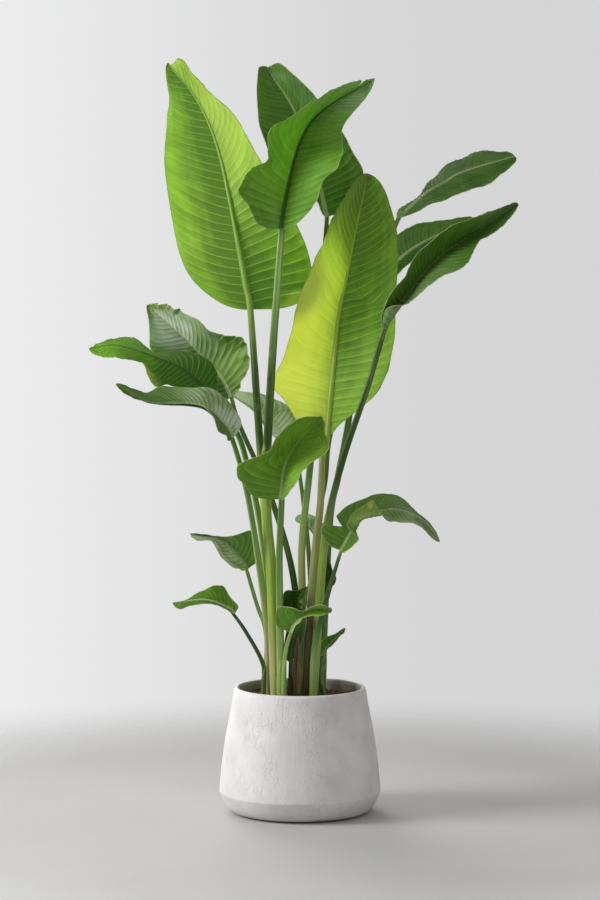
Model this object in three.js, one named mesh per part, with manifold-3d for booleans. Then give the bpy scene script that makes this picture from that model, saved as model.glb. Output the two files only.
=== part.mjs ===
import * as THREE from "three";
import { mergeVertices } from "three/addons/utils/BufferGeometryUtils.js";
import Module from "manifold-3d";

// A bird of paradise plant standing in a round white pot.
// Millimetres, +Z up, origin in the middle of the pot's underside, front towards -Y.

const wasm = await Module();
wasm.setup();

// Driving dimensions.
const potHeight = 282;
const potFootRadius = 154;
const potWidestRadius = 180;
const potRimRadius = 148;
const potWall = 14;
const potFloor = 15;
const soilLevel = 260;
const bladeThickness = 1.2;
const fitGap = 0.35;

// Facets.
const potSides = 36;
const bigLeaf = { rows: 16, columns: [0.1, 0.55, 1], sides: 7, steps: 11 };
const smallLeaf = { rows: 9, columns: [0.25, 1], sides: 6, steps: 8 };

// Each leaf: stalk points from the soil up, rib points from the blade's base to its tip,
// blade width, how fast the width grows and tapers (taper), how far each half is lifted
// from flat, in degrees, from base to tip (left, right), how far it bends over again
// towards its edge (bow), the lean of the side veins at base and tip (lean), the edge
// wave (height, count, start), stalk radius at foot and blade, and the way that the
// upper face looks (face). Where the outline of a half is lobed or waisted, edges tells
// how much wider or narrower it is from base to tip (left, right).
const front = [0, -1, 0];
const leaves = [
  {
    name: "leaf_01", detail: bigLeaf, color: 0x8fb52e,
    stalk: [[-50, 40, 200], [-65, 40, 470], [-85, 30, 765], [-95, 30, 905]],
    rib: [[-110, 30, 1120], [-175, 65, 1450], [-230, 85, 1585], [-295, 100, 1665]],
    radius: [11, 7], width: 300, taper: [0.3, 0.7], face: [front],
    left: [5, 0, 0, 0, 0], right: [0, 10, 42, 50, 55],
    edges: [
      [0.85, 0.88, 0.91, 0.91, 0.91, 0.95, 1, 1, 0.96, 0.85, 0.85],
      [
        1.2, 1.17, 1.13, 1.08, 1.03, 0.98, 0.93, 0.92, 0.9, 0.87, 0.83,
        0.82, 0.81, 0.81, 0.8, 0.7, 0.6, 0.62, 0.75, 1.2, 0.3,
      ],
    ],
    bow: 10, leanLeft: [0.25, 0.05], leanRight: [-0.1, 0.05], wave: [4, 3, 0],
  },
  {
    name: "leaf_02", detail: bigLeaf, color: 0x4f8a2c,
    stalk: [[-50, -45, 200], [-60, -45, 460], [-65, -50, 570], [-75, -50, 705], [-65, -60, 950]],
    rib: [[-40, -75, 1300], [-30, -80, 1370], [0, -65, 1490], [50, -30, 1560], [165, 70, 1630]],
    radius: [12, 7], width: 235, taper: [0.3, 0.85], face: [front],
    left: [20, 45, 70, 85, 85], right: [50, 45, 38, 48, 55],
    edges: [
      [
        0.75, 0.72, 0.79, 1.03, 0.98, 0.92, 0.66, 0.83, 1.1, 0.93, 0.78,
        0.68, 0.62, 0.75, 0.93, 1.15, 1.25, 1, 1.05, 1, 1,
      ],
      [
        0.5, 0.59, 0.69, 0.75, 0.75, 0.8, 1.02, 1.03, 1.03, 0.95, 0.88,
        0.8, 0.76, 0.77, 0.79, 0.81, 0.83, 0.86, 0.88, 0.9, 0.9,
      ],
    ],
    bow: 15, leanLeft: [-0.1, 0.05], leanRight: [0.1, 0.05], wave: [7, 2.5, 1],
  },
  {
    name: "leaf_03", detail: bigLeaf, color: 0x44772b,
    stalk: [[5, 25, 200], [5, 30, 470], [5, 40, 605], [25, 60, 795], [40, 80, 1050]],
    rib: [[60, 100, 1325], [30, 125, 1450], [-15, 155, 1565], [-60, 200, 1635], [-75, 250, 1660]],
    radius: [10, 6], width: 215, taper: [0.4, 0.7], face: [front, front, [0, -0.7, 0.7]],
    left: [20, 20, 25, 20, 40], right: [20, 20, 40, 55, 55],
    edges: [
      [0.2, 0.2, 0.6, 0.8, 0.85, 0.9, 0.94, 0.92, 0.83, 0.63, 0.7],
      [1, 1, 1.04, 0.88, 0.85, 0.8, 0.74, 0.72, 0.72, 0.76, 0.8],
    ],
    bow: 15, leanLeft: [-0.1, 0.05], leanRight: [-0.1, 0.05], wave: [5, 2.5, 0],
  },
  {
    name: "leaf_04", detail: bigLeaf, color: 0x9dc236,
    stalk: [[10, -15, 200], [25, -15, 475], [35, -10, 600], [45, -10, 685], [50, 0, 800]],
    rib: [[60, 0, 835], [85, 15, 1105], [100, 20, 1175], [115, 30, 1255], [150, 50, 1420]],
    radius: [11, 6.5], width: 280, taper: [0.45, 0.6], face: [front],
    left: [0, 8, 45, 58, 65], right: [50, 38, 25, 25, 25],
    edges: [
      [
        0.8, 0.85, 0.9, 1, 1.09, 0.97, 0.84, 0.8, 0.79, 0.85, 0.9,
        0.9, 0.9, 0.88, 0.85, 0.92, 0.98, 1, 1, 1, 1,
      ],
      [
        0.2, 0.35, 0.59, 0.8, 0.97, 1.02, 1.05, 1.02, 1, 0.97, 0.94,
        0.9, 0.89, 0.91, 0.93, 0.94, 0.96, 0.94, 0.92, 0.95, 1,
      ],
    ],
    bow: 10, leanLeft: [-0.15, 0.1], leanRight: [-0.15, 0.1], wave: [4, 2.5, 0.5],
  },
  {
    name: "leaf_05", detail: bigLeaf, color: 0x4c7d33,
    stalk: [[20, 90, 200], [40, 90, 620], [55, 90, 735], [75, 110, 870], [180, 160, 1205]],
    rib: [[220, 175, 1320], [280, 195, 1375], [325, 215, 1400], [370, 230, 1425], [490, 275, 1460]],
    radius: [9, 5], width: 150, taper: [0.8, 0.5], face: [[0.1, -0.6, 1]],
    left: [-20, -20, -12, -8, 0], right: [0, 0, 0, 0, 0],
    edges: [
      [1.6, 1, 0.3, 0.4, 0.8, 0.8, 0.87, 1.15, 1.05, 1, 1],
      [0.7, 0.75, 0.75, 0.85, 0.7, 0.86, 0.82, 0.87, 0.7, 0.6, 0.6],
    ],
    bow: 10, leanLeft: [-0.1, 0.2], leanRight: [-0.1, 0.2], wave: [5, 4, 0],
  },
  {
    name: "leaf_06", detail: bigLeaf, color: 0x3f6f28,
    stalk: [[25, -35, 200], [45, -40, 500], [60, -45, 650], [95, -60, 795], [150, -75, 960]],
    rib: [[185, -85, 1080], [215, -85, 1130], [305, -90, 1240], [415, -80, 1310], [475, -65, 1355]],
    radius: [9.5, 5.5], width: 180, taper: [0.5, 0.55], face: [front],
    left: [60, 60, 60, 62, 65], right: [85, 85, 75, 75, 75],
    edges: [
      [0.7, 0.8, 0.8, 0.6, 0.73, 0.75, 0.86, 0.76, 0.66, 0.5, 0.6],
      [
        0.9, 1, 1, 1, 1, 1, 0.97, 0.95, 1, 1.2, 1.4,
        1.3, 1.05, 0.75, 0.56, 0.6, 0.65, 0.65, 0.65, 0.6, 0.6,
      ],
    ],
    bow: 15, leanLeft: [-0.1, 0.2], leanRight: [-0.1, 0.2], wave: [4, 2, 0],
  },
  {
    name: "leaf_07", detail: bigLeaf, color: 0x4a7f2f,
    stalk: [[45, 40, 200], [65, 40, 625], [85, 45, 745], [105, 45, 850], [130, 55, 1005]],
    rib: [[165, 55, 1160], [210, 70, 1220], [270, 90, 1265], [390, 130, 1320]],
    radius: [9, 5.5], width: 150, taper: [0.4, 0.5], face: [[-0.1, -0.5, 1]],
    left: [0, 5, 9, 6, 0], right: [0, 0, 0, 0, 0],
    edges: [[1, 1, 1, 1, 1.05, 1, 1, 0.95, 1, 1, 1], [0.4, 0.4, 0.4, 0.4, 0.45, 0.6, 0.8, 1, 1, 1, 1]],
    bow: 15, leanLeft: [-0.1, 0.2], leanRight: [-0.1, 0.2], wave: [4, 2, 0],
  },
  {
    name: "leaf_08", detail: bigLeaf, color: 0x4b7c33,
    stalk: [[-65, 10, 200], [-65, 10, 385], [-85, 0, 620], [-120, -20, 790], [-145, -30, 860]],
    rib: [[-190, -55, 925], [-210, -65, 950], [-270, -70, 1000], [-390, -90, 1045], [-460, -100, 1040]],
    radius: [9, 5], width: 175, taper: [0.5, 0.6], face: [[0.1, -0.6, 0.8]],
    left: [15, 8, 0, 15, 10], right: [10, 0, -30, -18, -10],
    edges: [
      [
        0.4, 0.3, 0.25, 0.4, 0.6, 0.68, 0.73, 0.74, 0.75, 0.95, 0.95,
        0.8, 0.5, 0.6, 0.73, 0.85, 0.9, 0.95, 1, 1, 1,
      ],
      [
        1, 0.95, 0.93, 0.95, 1, 1, 1, 0.97, 0.95, 0.76, 0.6,
        0.95, 1.7, 1.6, 1.25, 0.95, 0.7, 0.55, 0.42, 0.5, 0.2,
      ],
    ],
    bow: 5, leanLeft: [-0.2, 0.2], leanRight: [-0.2, 0.2], wave: [4, 2, 0],
  },
  {
    name: "leaf_09", detail: bigLeaf, color: 0x6d8f63,
    stalk: [[-10, 50, 200], [-10, 65, 480], [-60, 90, 680], [-135, 115, 855]],
    rib: [[-155, 120, 920], [-175, 125, 960], [-205, 135, 995], [-270, 145, 1060], [-345, 160, 1125]],
    radius: [9, 4.5], width: 190, taper: [0.3, 0.7], face: [front],
    left: [20, 30, 40, 35, 25], right: [50, 35, 50, 50, 55],
    edges: [
      [0.6, 0.8, 1, 1, 1, 1, 1, 1.2, 0.95, 0.7, 0.6],
      [
        0.3, 0.5, 0.65, 0.9, 1.04, 1.1, 1.15, 1.05, 1, 0.95, 0.95,
        1, 1, 0.9, 0.82, 0.85, 0.87, 0.95, 1, 0.9, 0.8,
      ],
    ],
    bow: 10, leanLeft: [-0.2, 0.2], leanRight: [-0.2, 0.2], wave: [8, 2, 0],
  },
  {
    name: "leaf_10", detail: bigLeaf, color: 0x5d8452,
    stalk: [[-65, -25, 200], [-70, -25, 380], [-80, -35, 480], [-105, -75, 660], [-125, -115, 765]],
    rib: [[-145, -150, 850], [-165, -165, 882], [-215, -185, 922], [-325, -215, 932], [-395, -230, 970]],
    radius: [9, 5], width: 145, taper: [0.55, 0.55], face: [[0, -0.6, 0.8]],
    left: [10, 28, 38, 38, 35], right: [20, 0, -8, -17, -15],
    edges: [
      [0.9, 1, 1, 1, 0.5, 0.3, 0.3, 0.5, 0.5, 0.7, 0.8],
      [1.1, 1.2, 1.1, 1.08, 0.95, 1.18, 1.1, 0.73, 0.77, 0.5, 0.5],
    ],
    bow: 5, leanLeft: [-0.2, 0.2], leanRight: [-0.2, 0.2], wave: [5, 3, 0],
  },
  {
    name: "leaf_11", detail: smallLeaf, color: 0x6b8b5f,
    stalk: [[15, 60, 200], [25, 65, 420], [20, 70, 565], [0, 95, 740]],
    rib: [[-20, 115, 825], [-70, 145, 865], [-95, 165, 885], [-180, 205, 935]],
    radius: [7, 4], width: 125, taper: [0.5, 0.6], face: [[0, -0.7, 0.7]],
    left: [5, 15, 20, 25, 30], right: [0, 0, 0, 5, 5],
    edges: [
      [0.8, 0.7, 0.5, 0.4, 0.3, 0.2, 0.1, 0.1, 0.1, 0.2, 0.3],
      [1, 1, 1, 1, 1, 0.9, 0.73, 0.54, 0.45, 0.45, 0.5],
    ],
    bow: 5, leanLeft: [-0.2, 0.2], leanRight: [-0.2, 0.2], wave: [5, 3, 0],
  },
  {
    name: "leaf_12", detail: bigLeaf, color: 0x47762d,
    stalk: [[-40, -80, 200], [-45, -80, 485], [-45, -85, 595]],
    rib: [[-40, -100, 710], [-30, -115, 790], [5, -120, 850], [50, -105, 885]],
    radius: [9.5, 6.5], width: 215, taper: [0.4, 0.6], face: [front],
    left: [0, 22, 60, 68, 70], right: [90, 82, 65, 48, 45],
    edges: [
      [
        1, 0.95, 0.9, 0.88, 0.9, 1, 1.05, 1.1, 0.97, 0.85, 0.8,
        0.88, 0.95, 0.93, 0.9, 0.9, 0.88, 0.8, 0.7, 0.8, 0.8,
      ],
      [1, 1, 1.05, 1.15, 1, 0.86, 0.87, 0.98, 0.84, 0.53, 0.5],
    ],
    bow: 10, leanLeft: [-0.2, 0.2], leanRight: [0.15, 0.2], wave: [5, 2.5, 0],
  },
  {
    name: "leaf_13", detail: bigLeaf, color: 0x6a8f55,
    stalk: [[30, -70, 200], [30, -70, 325], [35, -70, 395], [65, -80, 510]],
    rib: [
      [90, -85, 595], [120, -95, 650], [145, -105, 675],
      [210, -120, 690], [270, -130, 665], [305, -135, 620],
    ],
    radius: [9, 3.5], width: 110, taper: [0.35, 0.6],
    face: [[0, -0.9, 0.4], [0, -0.6, 0.8], [0, -0.4, 0.9], [0, -0.5, 0.8]],
    left: [15, 10, 5, 0, 0], right: [60, 30, 5, 10, 10],
    edges: [
      [1.2, 1.4, 1, 1, 1.1, 1.05, 0.93, 0.5, 0.3, 0.3, 0.4],
      [0.6, 0.7, 0.65, 0.8, 0.67, 0.83, 1, 0.95, 0.85, 0.7, 0.7],
    ],
    bow: 10, leanLeft: [-0.2, 0.2], leanRight: [-0.2, 0.2], wave: [4, 2.5, 0],
  },
  {
    name: "leaf_14", detail: smallLeaf, color: 0x53803f,
    stalk: [[-80, 60, 200], [-75, 65, 355], [-80, 65, 410], [-95, 70, 450]],
    rib: [[-120, 70, 535], [-130, 65, 555], [-180, 50, 605], [-245, 35, 620]],
    radius: [6, 4], width: 115, taper: [0.35, 0.6], face: [front],
    left: [70, 60, 60, 70, 70], right: [10, 5, 25, 70, 70],
    edges: [
      [0.9, 0.85, 0.77, 0.7, 0.73, 0.69, 0.53, 0.35, 0.55, 1, 1],
      [1, 1, 1.1, 1.03, 0.63, 0.3, 0.15, 0.1, 0.35, 0.3, 0.5],
    ],
    bow: 15, leanLeft: [0.3, 0.2], leanRight: [0.3, 0.2], wave: [4, 2.5, 0],
  },
  {
    name: "leaf_15", detail: smallLeaf, color: 0x558a3a,
    stalk: [[-85, -40, 200], [-80, -40, 305], [-85, -40, 345], [-120, -45, 410]],
    rib: [[-145, -50, 450], [-160, -55, 465], [-210, -75, 485], [-280, -90, 480]],
    radius: [6, 3.5], width: 80, taper: [0.35, 0.6], face: [[0, -0.8, 0.7]],
    left: [50, 30, 30, 30, 30], right: [0, 0, 0, 0, 0],
    edges: [
      [0.3, 0.3, 0.28, 0.2, 0.32, 0.5, 0.54, 0.6, 0.9, 2, 2],
      [0.8, 0.8, 1.5, 1.23, 0.98, 0.72, 0.6, 0.32, 0.1, 0.1, 0.1],
    ],
    bow: 10, leanLeft: [0, 0.2], leanRight: [0, 0.2], wave: [4, 2.5, 0],
  },
  {
    name: "leaf_16", detail: smallLeaf, color: 0x5f9440,
    stalk: [[-35, -105, 200], [-35, -105, 330], [-30, -105, 380]],
    rib: [[-20, -105, 415], [-10, -105, 435], [25, -110, 465], [70, -110, 465]],
    radius: [6, 4], width: 110, taper: [0.35, 0.6], face: [front],
    left: [10, 10, 65, 75, 70], right: [80, 80, 75, 60, 60],
    edges: [
      [1, 0.95, 1.05, 0.8, 0.65, 0.4, 0.5, 0.65, 1, 1, 1],
      [0.4, 0.2, 0.15, 0.25, 0.15, 0.3, 0.4, 0.49, 0.5, 0.43, 0.5],
    ],
    bow: 15, leanLeft: [0, 0.2], leanRight: [0, 0.2], wave: [4, 2.5, 0],
  },
  {
    name: "leaf_17", detail: smallLeaf, color: 0x315a22,
    stalk: [[-25, -20, 200], [-20, -20, 345], [-20, -20, 395]],
    rib: [[-20, -20, 440], [-15, -25, 485], [15, -40, 510]],
    radius: [5, 3.5], width: 62, taper: [0.35, 0.6], face: [front],
    left: [30, 40, 50, 50, 50], right: [30, 40, 50, 50, 50],
    edges: [[1, 1, 1, 1, 1, 1, 0.9, 0.4, 0.2, 0.2, 0.3], [1]],
    bow: 15, leanLeft: [-0.2, 0.2], leanRight: [-0.2, 0.2], wave: [6, 3, 0],
  },
  {
    name: "leaf_18", detail: smallLeaf, color: 0x3c6a28,
    stalk: [[50, 10, 200], [45, 10, 360], [50, 15, 415]],
    rib: [[55, 15, 480], [60, 20, 505], [65, 20, 560], [60, 15, 580]],
    radius: [6, 3.5], width: 52, taper: [0.35, 0.6], face: [front],
    left: [60, 60, 60, 60, 60], right: [40, 40, 40, 40, 40],
    edges: [[1], [0.2, 0.2, 0.2, 0.72, 0.86, 0.73, 0.45, 0.3, 0.1, 0.1, 0.5]],
    bow: 15, leanLeft: [-0.2, 0.2], leanRight: [-0.2, 0.2], wave: [4, 3, 0],
  },
  {
    name: "leaf_19", detail: smallLeaf, color: 0x4f8a3a,
    stalk: [[60, 0, 200], [55, 0, 260], [45, 0, 305]],
    rib: [[50, -5, 350], [60, -10, 370], [100, -20, 415]],
    radius: [5, 3], width: 42, taper: [0.5, 0.7], face: [[-0.3, -1, 0.2]],
    left: [60, 60, 60, 60, 60], right: [30, 30, 30, 30, 30],
    edges: [
      [1, 1, 1, 1.1, 1.1, 1.05, 0.9, 0.6, 0.5, 0.5, 0.6],
      [0.3, 0.2, 0.1, 0.2, 0.35, 0.35, 0.35, 0.3, 0.4, 0.8, 1],
    ],
    bow: 15, leanLeft: [-0.2, 0.2], leanRight: [-0.2, 0.2], wave: [2, 2, 0],
  },
  {
    name: "leaf_20", detail: smallLeaf, color: 0x6b8b5f,
    stalk: [[-5, 100, 200], [5, 100, 415], [30, 105, 530]],
    rib: [[40, 110, 595], [30, 120, 615], [15, 125, 630], [-10, 140, 645]],
    radius: [6, 3.5], width: 60, taper: [0.4, 0.7], face: [[0, -1, 0.3]],
    left: [30, 30, 30, 30, 30], right: [30, 30, 30, 30, 30],
    edges: [[0.6, 0.3, 0.15, 0.15, 0.15, 0.15, 0.2, 0.3, 0.4, 0.6, 0.8], [1]],
    bow: 15, leanLeft: [-0.2, 0.2], leanRight: [-0.2, 0.2], wave: [4, 2, 0],
  },
  {
    name: "leaf_21", detail: smallLeaf, color: 0x2f5220,
    stalk: [[-15, -5, 200], [-10, -10, 340], [0, -35, 430]],
    rib: [[0, -45, 445], [0, -55, 435], [-10, -60, 410], [-25, -60, 345]],
    radius: [5, 3], width: 44, taper: [0.5, 0.7], face: [[0, -1, 0.3]],
    left: [30, 30, 30, 30, 30], right: [30, 30, 30, 30, 30],
    bow: 15, leanLeft: [-0.2, 0.2], leanRight: [-0.2, 0.2], wave: [3, 2, 0],
  },
  {
    name: "dry_sheath_1", detail: smallLeaf, color: 0x8c7f63,
    stalk: [[-10, -75, 200], [-10, -75, 235], [-10, -75, 262]],
    rib: [[-10, -75, 272], [-8, -74, 345], [-5, -77, 405]],
    radius: [3.5, 3], width: 26, taper: [0.3, 0.35], face: [front],
    left: [40, 45, 50, 50, 45], right: [40, 45, 50, 50, 45],
    bow: 15, leanLeft: [0, 0.3], leanRight: [0, 0.3], wave: [1, 2, 0],
  },
  {
    name: "dry_sheath_2", detail: smallLeaf, color: 0x6e4c33,
    stalk: [[-18, -50, 200], [-18, -50, 235], [-18, -50, 258]],
    rib: [[-18, -50, 268], [-17, -49, 285], [-14, -53, 308]],
    radius: [3.5, 3], width: 22, taper: [0.3, 0.4], face: [front],
    left: [40, 45, 50, 50, 45], right: [40, 45, 50, 50, 45],
    bow: 15, leanLeft: [0, 0.3], leanRight: [0, 0.3], wave: [1, 2, 0],
  },
];

// Solid bounded by a closed mesh, and the mesh of a solid.
function solidOf(geometry) {
  geometry.deleteAttribute("normal");
  geometry.deleteAttribute("uv");
  const merged = mergeVertices(geometry, 0.0001);
  const vertProperties = new Float32Array(merged.attributes.position.array);
  const triVerts = new Uint32Array(merged.index.array);
  return new wasm.Manifold(new wasm.Mesh({ numProp: 3, vertProperties, triVerts }));
}

function geometryOf(solid) {
  const mesh = solid.getMesh();
  const geometry = new THREE.BufferGeometry();
  const positions = new Float32Array(mesh.vertProperties);
  geometry.setAttribute("position", new THREE.BufferAttribute(positions, 3));
  geometry.setIndex(new THREE.BufferAttribute(new Uint32Array(mesh.triVerts), 1));
  geometry.computeVertexNormals();
  return geometry;
}

// Smooth curve through points, and a smooth value through a list spread evenly from 0 to 1.
function curveThrough(points) {
  const corners = points.map((p) => new THREE.Vector3(...p));
  const curve = new THREE.CatmullRomCurve3(corners, false, "catmullrom", 0.5);
  curve.arcLengthDivisions = 400;
  return curve;
}

function blend(list, s) {
  if (list.length === 1) {
    return list[0];
  }
  const place = Math.min(s * (list.length - 1), list.length - 1.000001);
  const i = Math.floor(place);
  const t = place - i;
  const b = list[i];
  const c = list[i + 1];
  const a = i > 0 ? list[i - 1] : 2 * b - c;
  const d = i + 2 < list.length ? list[i + 2] : 2 * c - b;
  const bend = (2 * a - 5 * b + 4 * c - d) * t * t + (3 * b - a - 3 * c + d) * t * t * t;
  return 0.5 * (2 * b + (c - a) * t + bend);
}

function radians(degrees) {
  return THREE.MathUtils.degToRad(degrees);
}

// Place, direction, upper-face normal and right-hand direction on a leaf's rib.
function ribFrame(leaf, s) {
  const point = leaf.curve.getPointAt(s);
  const tangent = leaf.curve.getTangentAt(s);
  const face = new THREE.Vector3(
    blend(leaf.face.map((f) => f[0]), s),
    blend(leaf.face.map((f) => f[1]), s),
    blend(leaf.face.map((f) => f[2]), s),
  );
  const normal = face.addScaledVector(tangent, -face.dot(tangent)).normalize();
  const across = new THREE.Vector3().crossVectors(tangent, normal);
  return { point, tangent, normal, across };
}

// Width of one half of the blade: a rounded base and a tapering tip, lobed or waisted.
function halfWidth(leaf, s, side) {
  const [grow, shrink] = leaf.taper;
  const peak = grow / (grow + shrink);
  const top = peak ** grow * (1 - peak) ** shrink;
  const share = (s ** grow * (1 - s) ** shrink) / top;
  const [left, right] = leaf.edges ?? [[1], [1]];
  return Math.max((leaf.width / 2) * share * blend(side < 0 ? left : right, s), 2.5);
}

// Point and normal of the blade's middle surface: side is -1 left or 1 right, v runs from
// the rib (0) to the edge (1).
function bladePoint(leaf, s, side, v) {
  const { point, tangent, normal, across } = ribFrame(leaf, s);
  const width = halfWidth(leaf, s, side);
  const lift = radians(blend(side < 0 ? leaf.left : leaf.right, s));
  const bow = radians(leaf.bow);
  const lean = side < 0 ? leaf.leanLeft : leaf.leanRight;
  const angle = lift - bow * v;
  const out = (Math.sin(lift) - Math.sin(angle)) / bow;
  const up = (Math.cos(angle) - Math.cos(lift)) / bow;
  const [height, count, start] = leaf.wave;
  const phase = 2 * Math.PI * count * s + start + (side < 0 ? 0 : 1.7);
  const ripple = (height * v * v * width * Math.sin(phase)) / (leaf.width / 2);
  const facing = normal.clone().multiplyScalar(Math.cos(angle));
  facing.addScaledVector(across, -side * Math.sin(angle));
  point.addScaledVector(across, side * width * out);
  point.addScaledVector(normal, width * up);
  point.addScaledVector(tangent, width * (lean[0] + (lean[1] - lean[0]) * s) * v * v);
  point.addScaledVector(facing, ripple);
  return { point, facing: v === 0 ? normal : facing };
}

// Thickness of the midrib below the blade.
function ribDepth(leaf, s) {
  return bladeThickness + leaf.radius[1] * 1.5 * (1 - s) ** 1.2;
}

// The blade as a closed sheet: an upper and a lower grid split alike, with a rim between.
function bladeSolid(leaf) {
  const { rows, columns } = leaf.detail;
  const stations = [...columns].reverse().map((v) => [-1, v]);
  stations.push([-1, 0]);
  stations.push(...columns.map((v) => [1, v]));
  const wide = stations.length;
  const positions = [];
  for (const face of [1, -1]) {
    for (let row = 0; row <= rows; row += 1) {
      const even = row / rows;
      const s = 0.5 * even + 0.25 * (1 - Math.cos(Math.PI * even));
      for (const [side, v] of stations) {
        const { point, facing } = bladePoint(leaf, s, side, v);
        const below = v === 0 && face < 0 ? ribDepth(leaf, s) : bladeThickness;
        const shift = face > 0 ? bladeThickness / 2 : bladeThickness / 2 - below;
        point.addScaledVector(facing, shift);
        positions.push(point.x, point.y, point.z);
      }
    }
  }
  const lower = (rows + 1) * wide;
  const index = [];
  for (let row = 0; row < rows; row += 1) {
    for (let column = 0; column < wide - 1; column += 1) {
      const a = row * wide + column;
      const b = a + 1;
      const c = a + wide;
      const d = c + 1;
      index.push(a, b, d, a, d, c);
      index.push(lower + a, lower + d, lower + b, lower + a, lower + c, lower + d);
    }
  }
  const rim = [];
  for (let column = 0; column < wide; column += 1) {
    rim.push(column);
  }
  for (let row = 1; row <= rows; row += 1) {
    rim.push(row * wide + wide - 1);
  }
  for (let column = wide - 2; column >= 0; column -= 1) {
    rim.push(rows * wide + column);
  }
  for (let row = rows - 1; row > 0; row -= 1) {
    rim.push(row * wide);
  }
  rim.forEach((a, i) => {
    const b = rim[(i + 1) % rim.length];
    index.push(a, lower + a, lower + b, a, lower + b, b);
  });
  const geometry = new THREE.BufferGeometry();
  geometry.setAttribute("position", new THREE.Float32BufferAttribute(positions, 3));
  geometry.setIndex(index);
  return solidOf(geometry);
}

// The stalk: a tapered rod that runs on under the midrib and thins out there.
function stalkSolid(leaf, grow) {
  const { sides, steps } = leaf.detail;
  const [foot, neck] = leaf.radius;
  const under = [0, 0.08, 0.18].map((s, i) => {
    const { point, normal } = ribFrame(leaf, s);
    return point.addScaledVector(normal, -neck * [0.7, 0.6, 0.3][i]).toArray();
  });
  const path = curveThrough([...leaf.stalk, ...under]);
  const shape = new THREE.CylinderGeometry(1, 1, 1, sides, steps);
  shape.deleteAttribute("normal");
  shape.deleteAttribute("uv");
  const rod = mergeVertices(shape, 0.0001);
  const place = rod.attributes.position;
  const frames = path.computeFrenetFrames(steps, false);
  const slim = 0.88;
  for (let i = 0; i < place.count; i += 1) {
    const step = Math.round((place.getY(i) + 0.5) * steps);
    const along = step / steps;
    const body = neck + (foot - neck) * Math.max(0, 1 - along / slim) ** 0.8;
    const tip = along > slim ? 1 - (0.75 * (along - slim)) / (1 - slim) : 1;
    const radius = body * tip + grow;
    const point = path.getPointAt(along);
    if (step === 0) {
      point.addScaledVector(frames.tangents[0], -grow);
    }
    point.addScaledVector(frames.binormals[step], radius * place.getX(i));
    point.addScaledVector(frames.normals[step], radius * place.getZ(i));
    place.setXYZ(i, point.x, point.y, point.z);
  }
  return solidOf(rod);
}

// Pot: turned wall with a bevelled foot, a slow inward curve and a rounded lip.
const outside = [
  [potFootRadius, 0],
  [potFootRadius + 7, 8],
  [potWidestRadius - 5, 34],
  [potWidestRadius, 47],
  [potWidestRadius - 2, 80],
  [potWidestRadius - 6, 120],
  [potWidestRadius - 12, 161],
  [potWidestRadius - 20, 205],
  [potRimRadius + 3, 250],
  [potRimRadius, 272],
  [potRimRadius - 2, 279],
  [potRimRadius - potWall / 2, potHeight],
];
const inside = [
  [potRimRadius - potWall + 2, 279],
  [potRimRadius - potWall, 272],
  [potRimRadius - potWall + 4, 245],
  [potWidestRadius - potWall - 20, 205],
  [potWidestRadius - potWall - 12, 161],
  [potWidestRadius - potWall - 5, 110],
  [potWidestRadius - potWall - 2, 60],
  [potWidestRadius - potWall - 12, 32],
  [potFootRadius - 6, potFloor],
];
function lathe(profile, sides) {
  const points = profile.map(([r, z]) => new THREE.Vector2(r, z));
  const geometry = new THREE.LatheGeometry(points, sides);
  geometry.rotateX(Math.PI / 2);
  return geometry;
}
const pot = solidOf(lathe([[0, 0], ...outside, ...inside, [0, potFloor]], potSides));

// Soil: fills the pot, with an uneven top.
function soilHeight(x, y) {
  const mounds = 3 * Math.sin(x * 0.05 + 1) * Math.cos(y * 0.06);
  const lumps = 2 * Math.sin(x * 0.13 - y * 0.11);
  return soilLevel + mounds + lumps - 5 * (Math.hypot(x, y) / potRimRadius) ** 4;
}
function soilSolid() {
  const fill = inside.filter(([, z]) => z < soilLevel - 10).reverse();
  const side = fill.map(([r, z]) => [r - fitGap, z + (z === potFloor ? fitGap : 0)]);
  const edge = potRimRadius - potWall + 1.5;
  const top = [1, 0.86, 0.66, 0.44, 0.22, 0].map((share) => [edge * share, soilLevel]);
  const geometry = lathe([[0, potFloor + fitGap], ...side, ...top], potSides);
  const place = geometry.attributes.position;
  for (let i = 0; i < place.count; i += 1) {
    if (place.getZ(i) > soilLevel - 1) {
      place.setZ(i, soilHeight(place.getX(i), place.getY(i)));
    }
  }
  return solidOf(geometry);
}

const group = new THREE.Group();
function place(name, solid, color, roughness) {
  const material = new THREE.MeshStandardMaterial({ color, roughness, metalness: 0 });
  const mesh = new THREE.Mesh(geometryOf(solid), material);
  mesh.name = name;
  group.add(mesh);
}

place("pot", pot, 0xe9e8e4, 0.85);
let soil = soilSolid();
for (const leaf of leaves) {
  leaf.curve = curveThrough(leaf.rib);
  place(leaf.name, bladeSolid(leaf).add(stalkSolid(leaf, 0)), leaf.color, 0.45);
  soil = soil.subtract(stalkSolid(leaf, fitGap));
}
place("soil", soil, 0x4a3326, 1);

export default group;
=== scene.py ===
import math
import random
import bpy
import numpy as np
from mathutils import Matrix, Vector, noise


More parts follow.
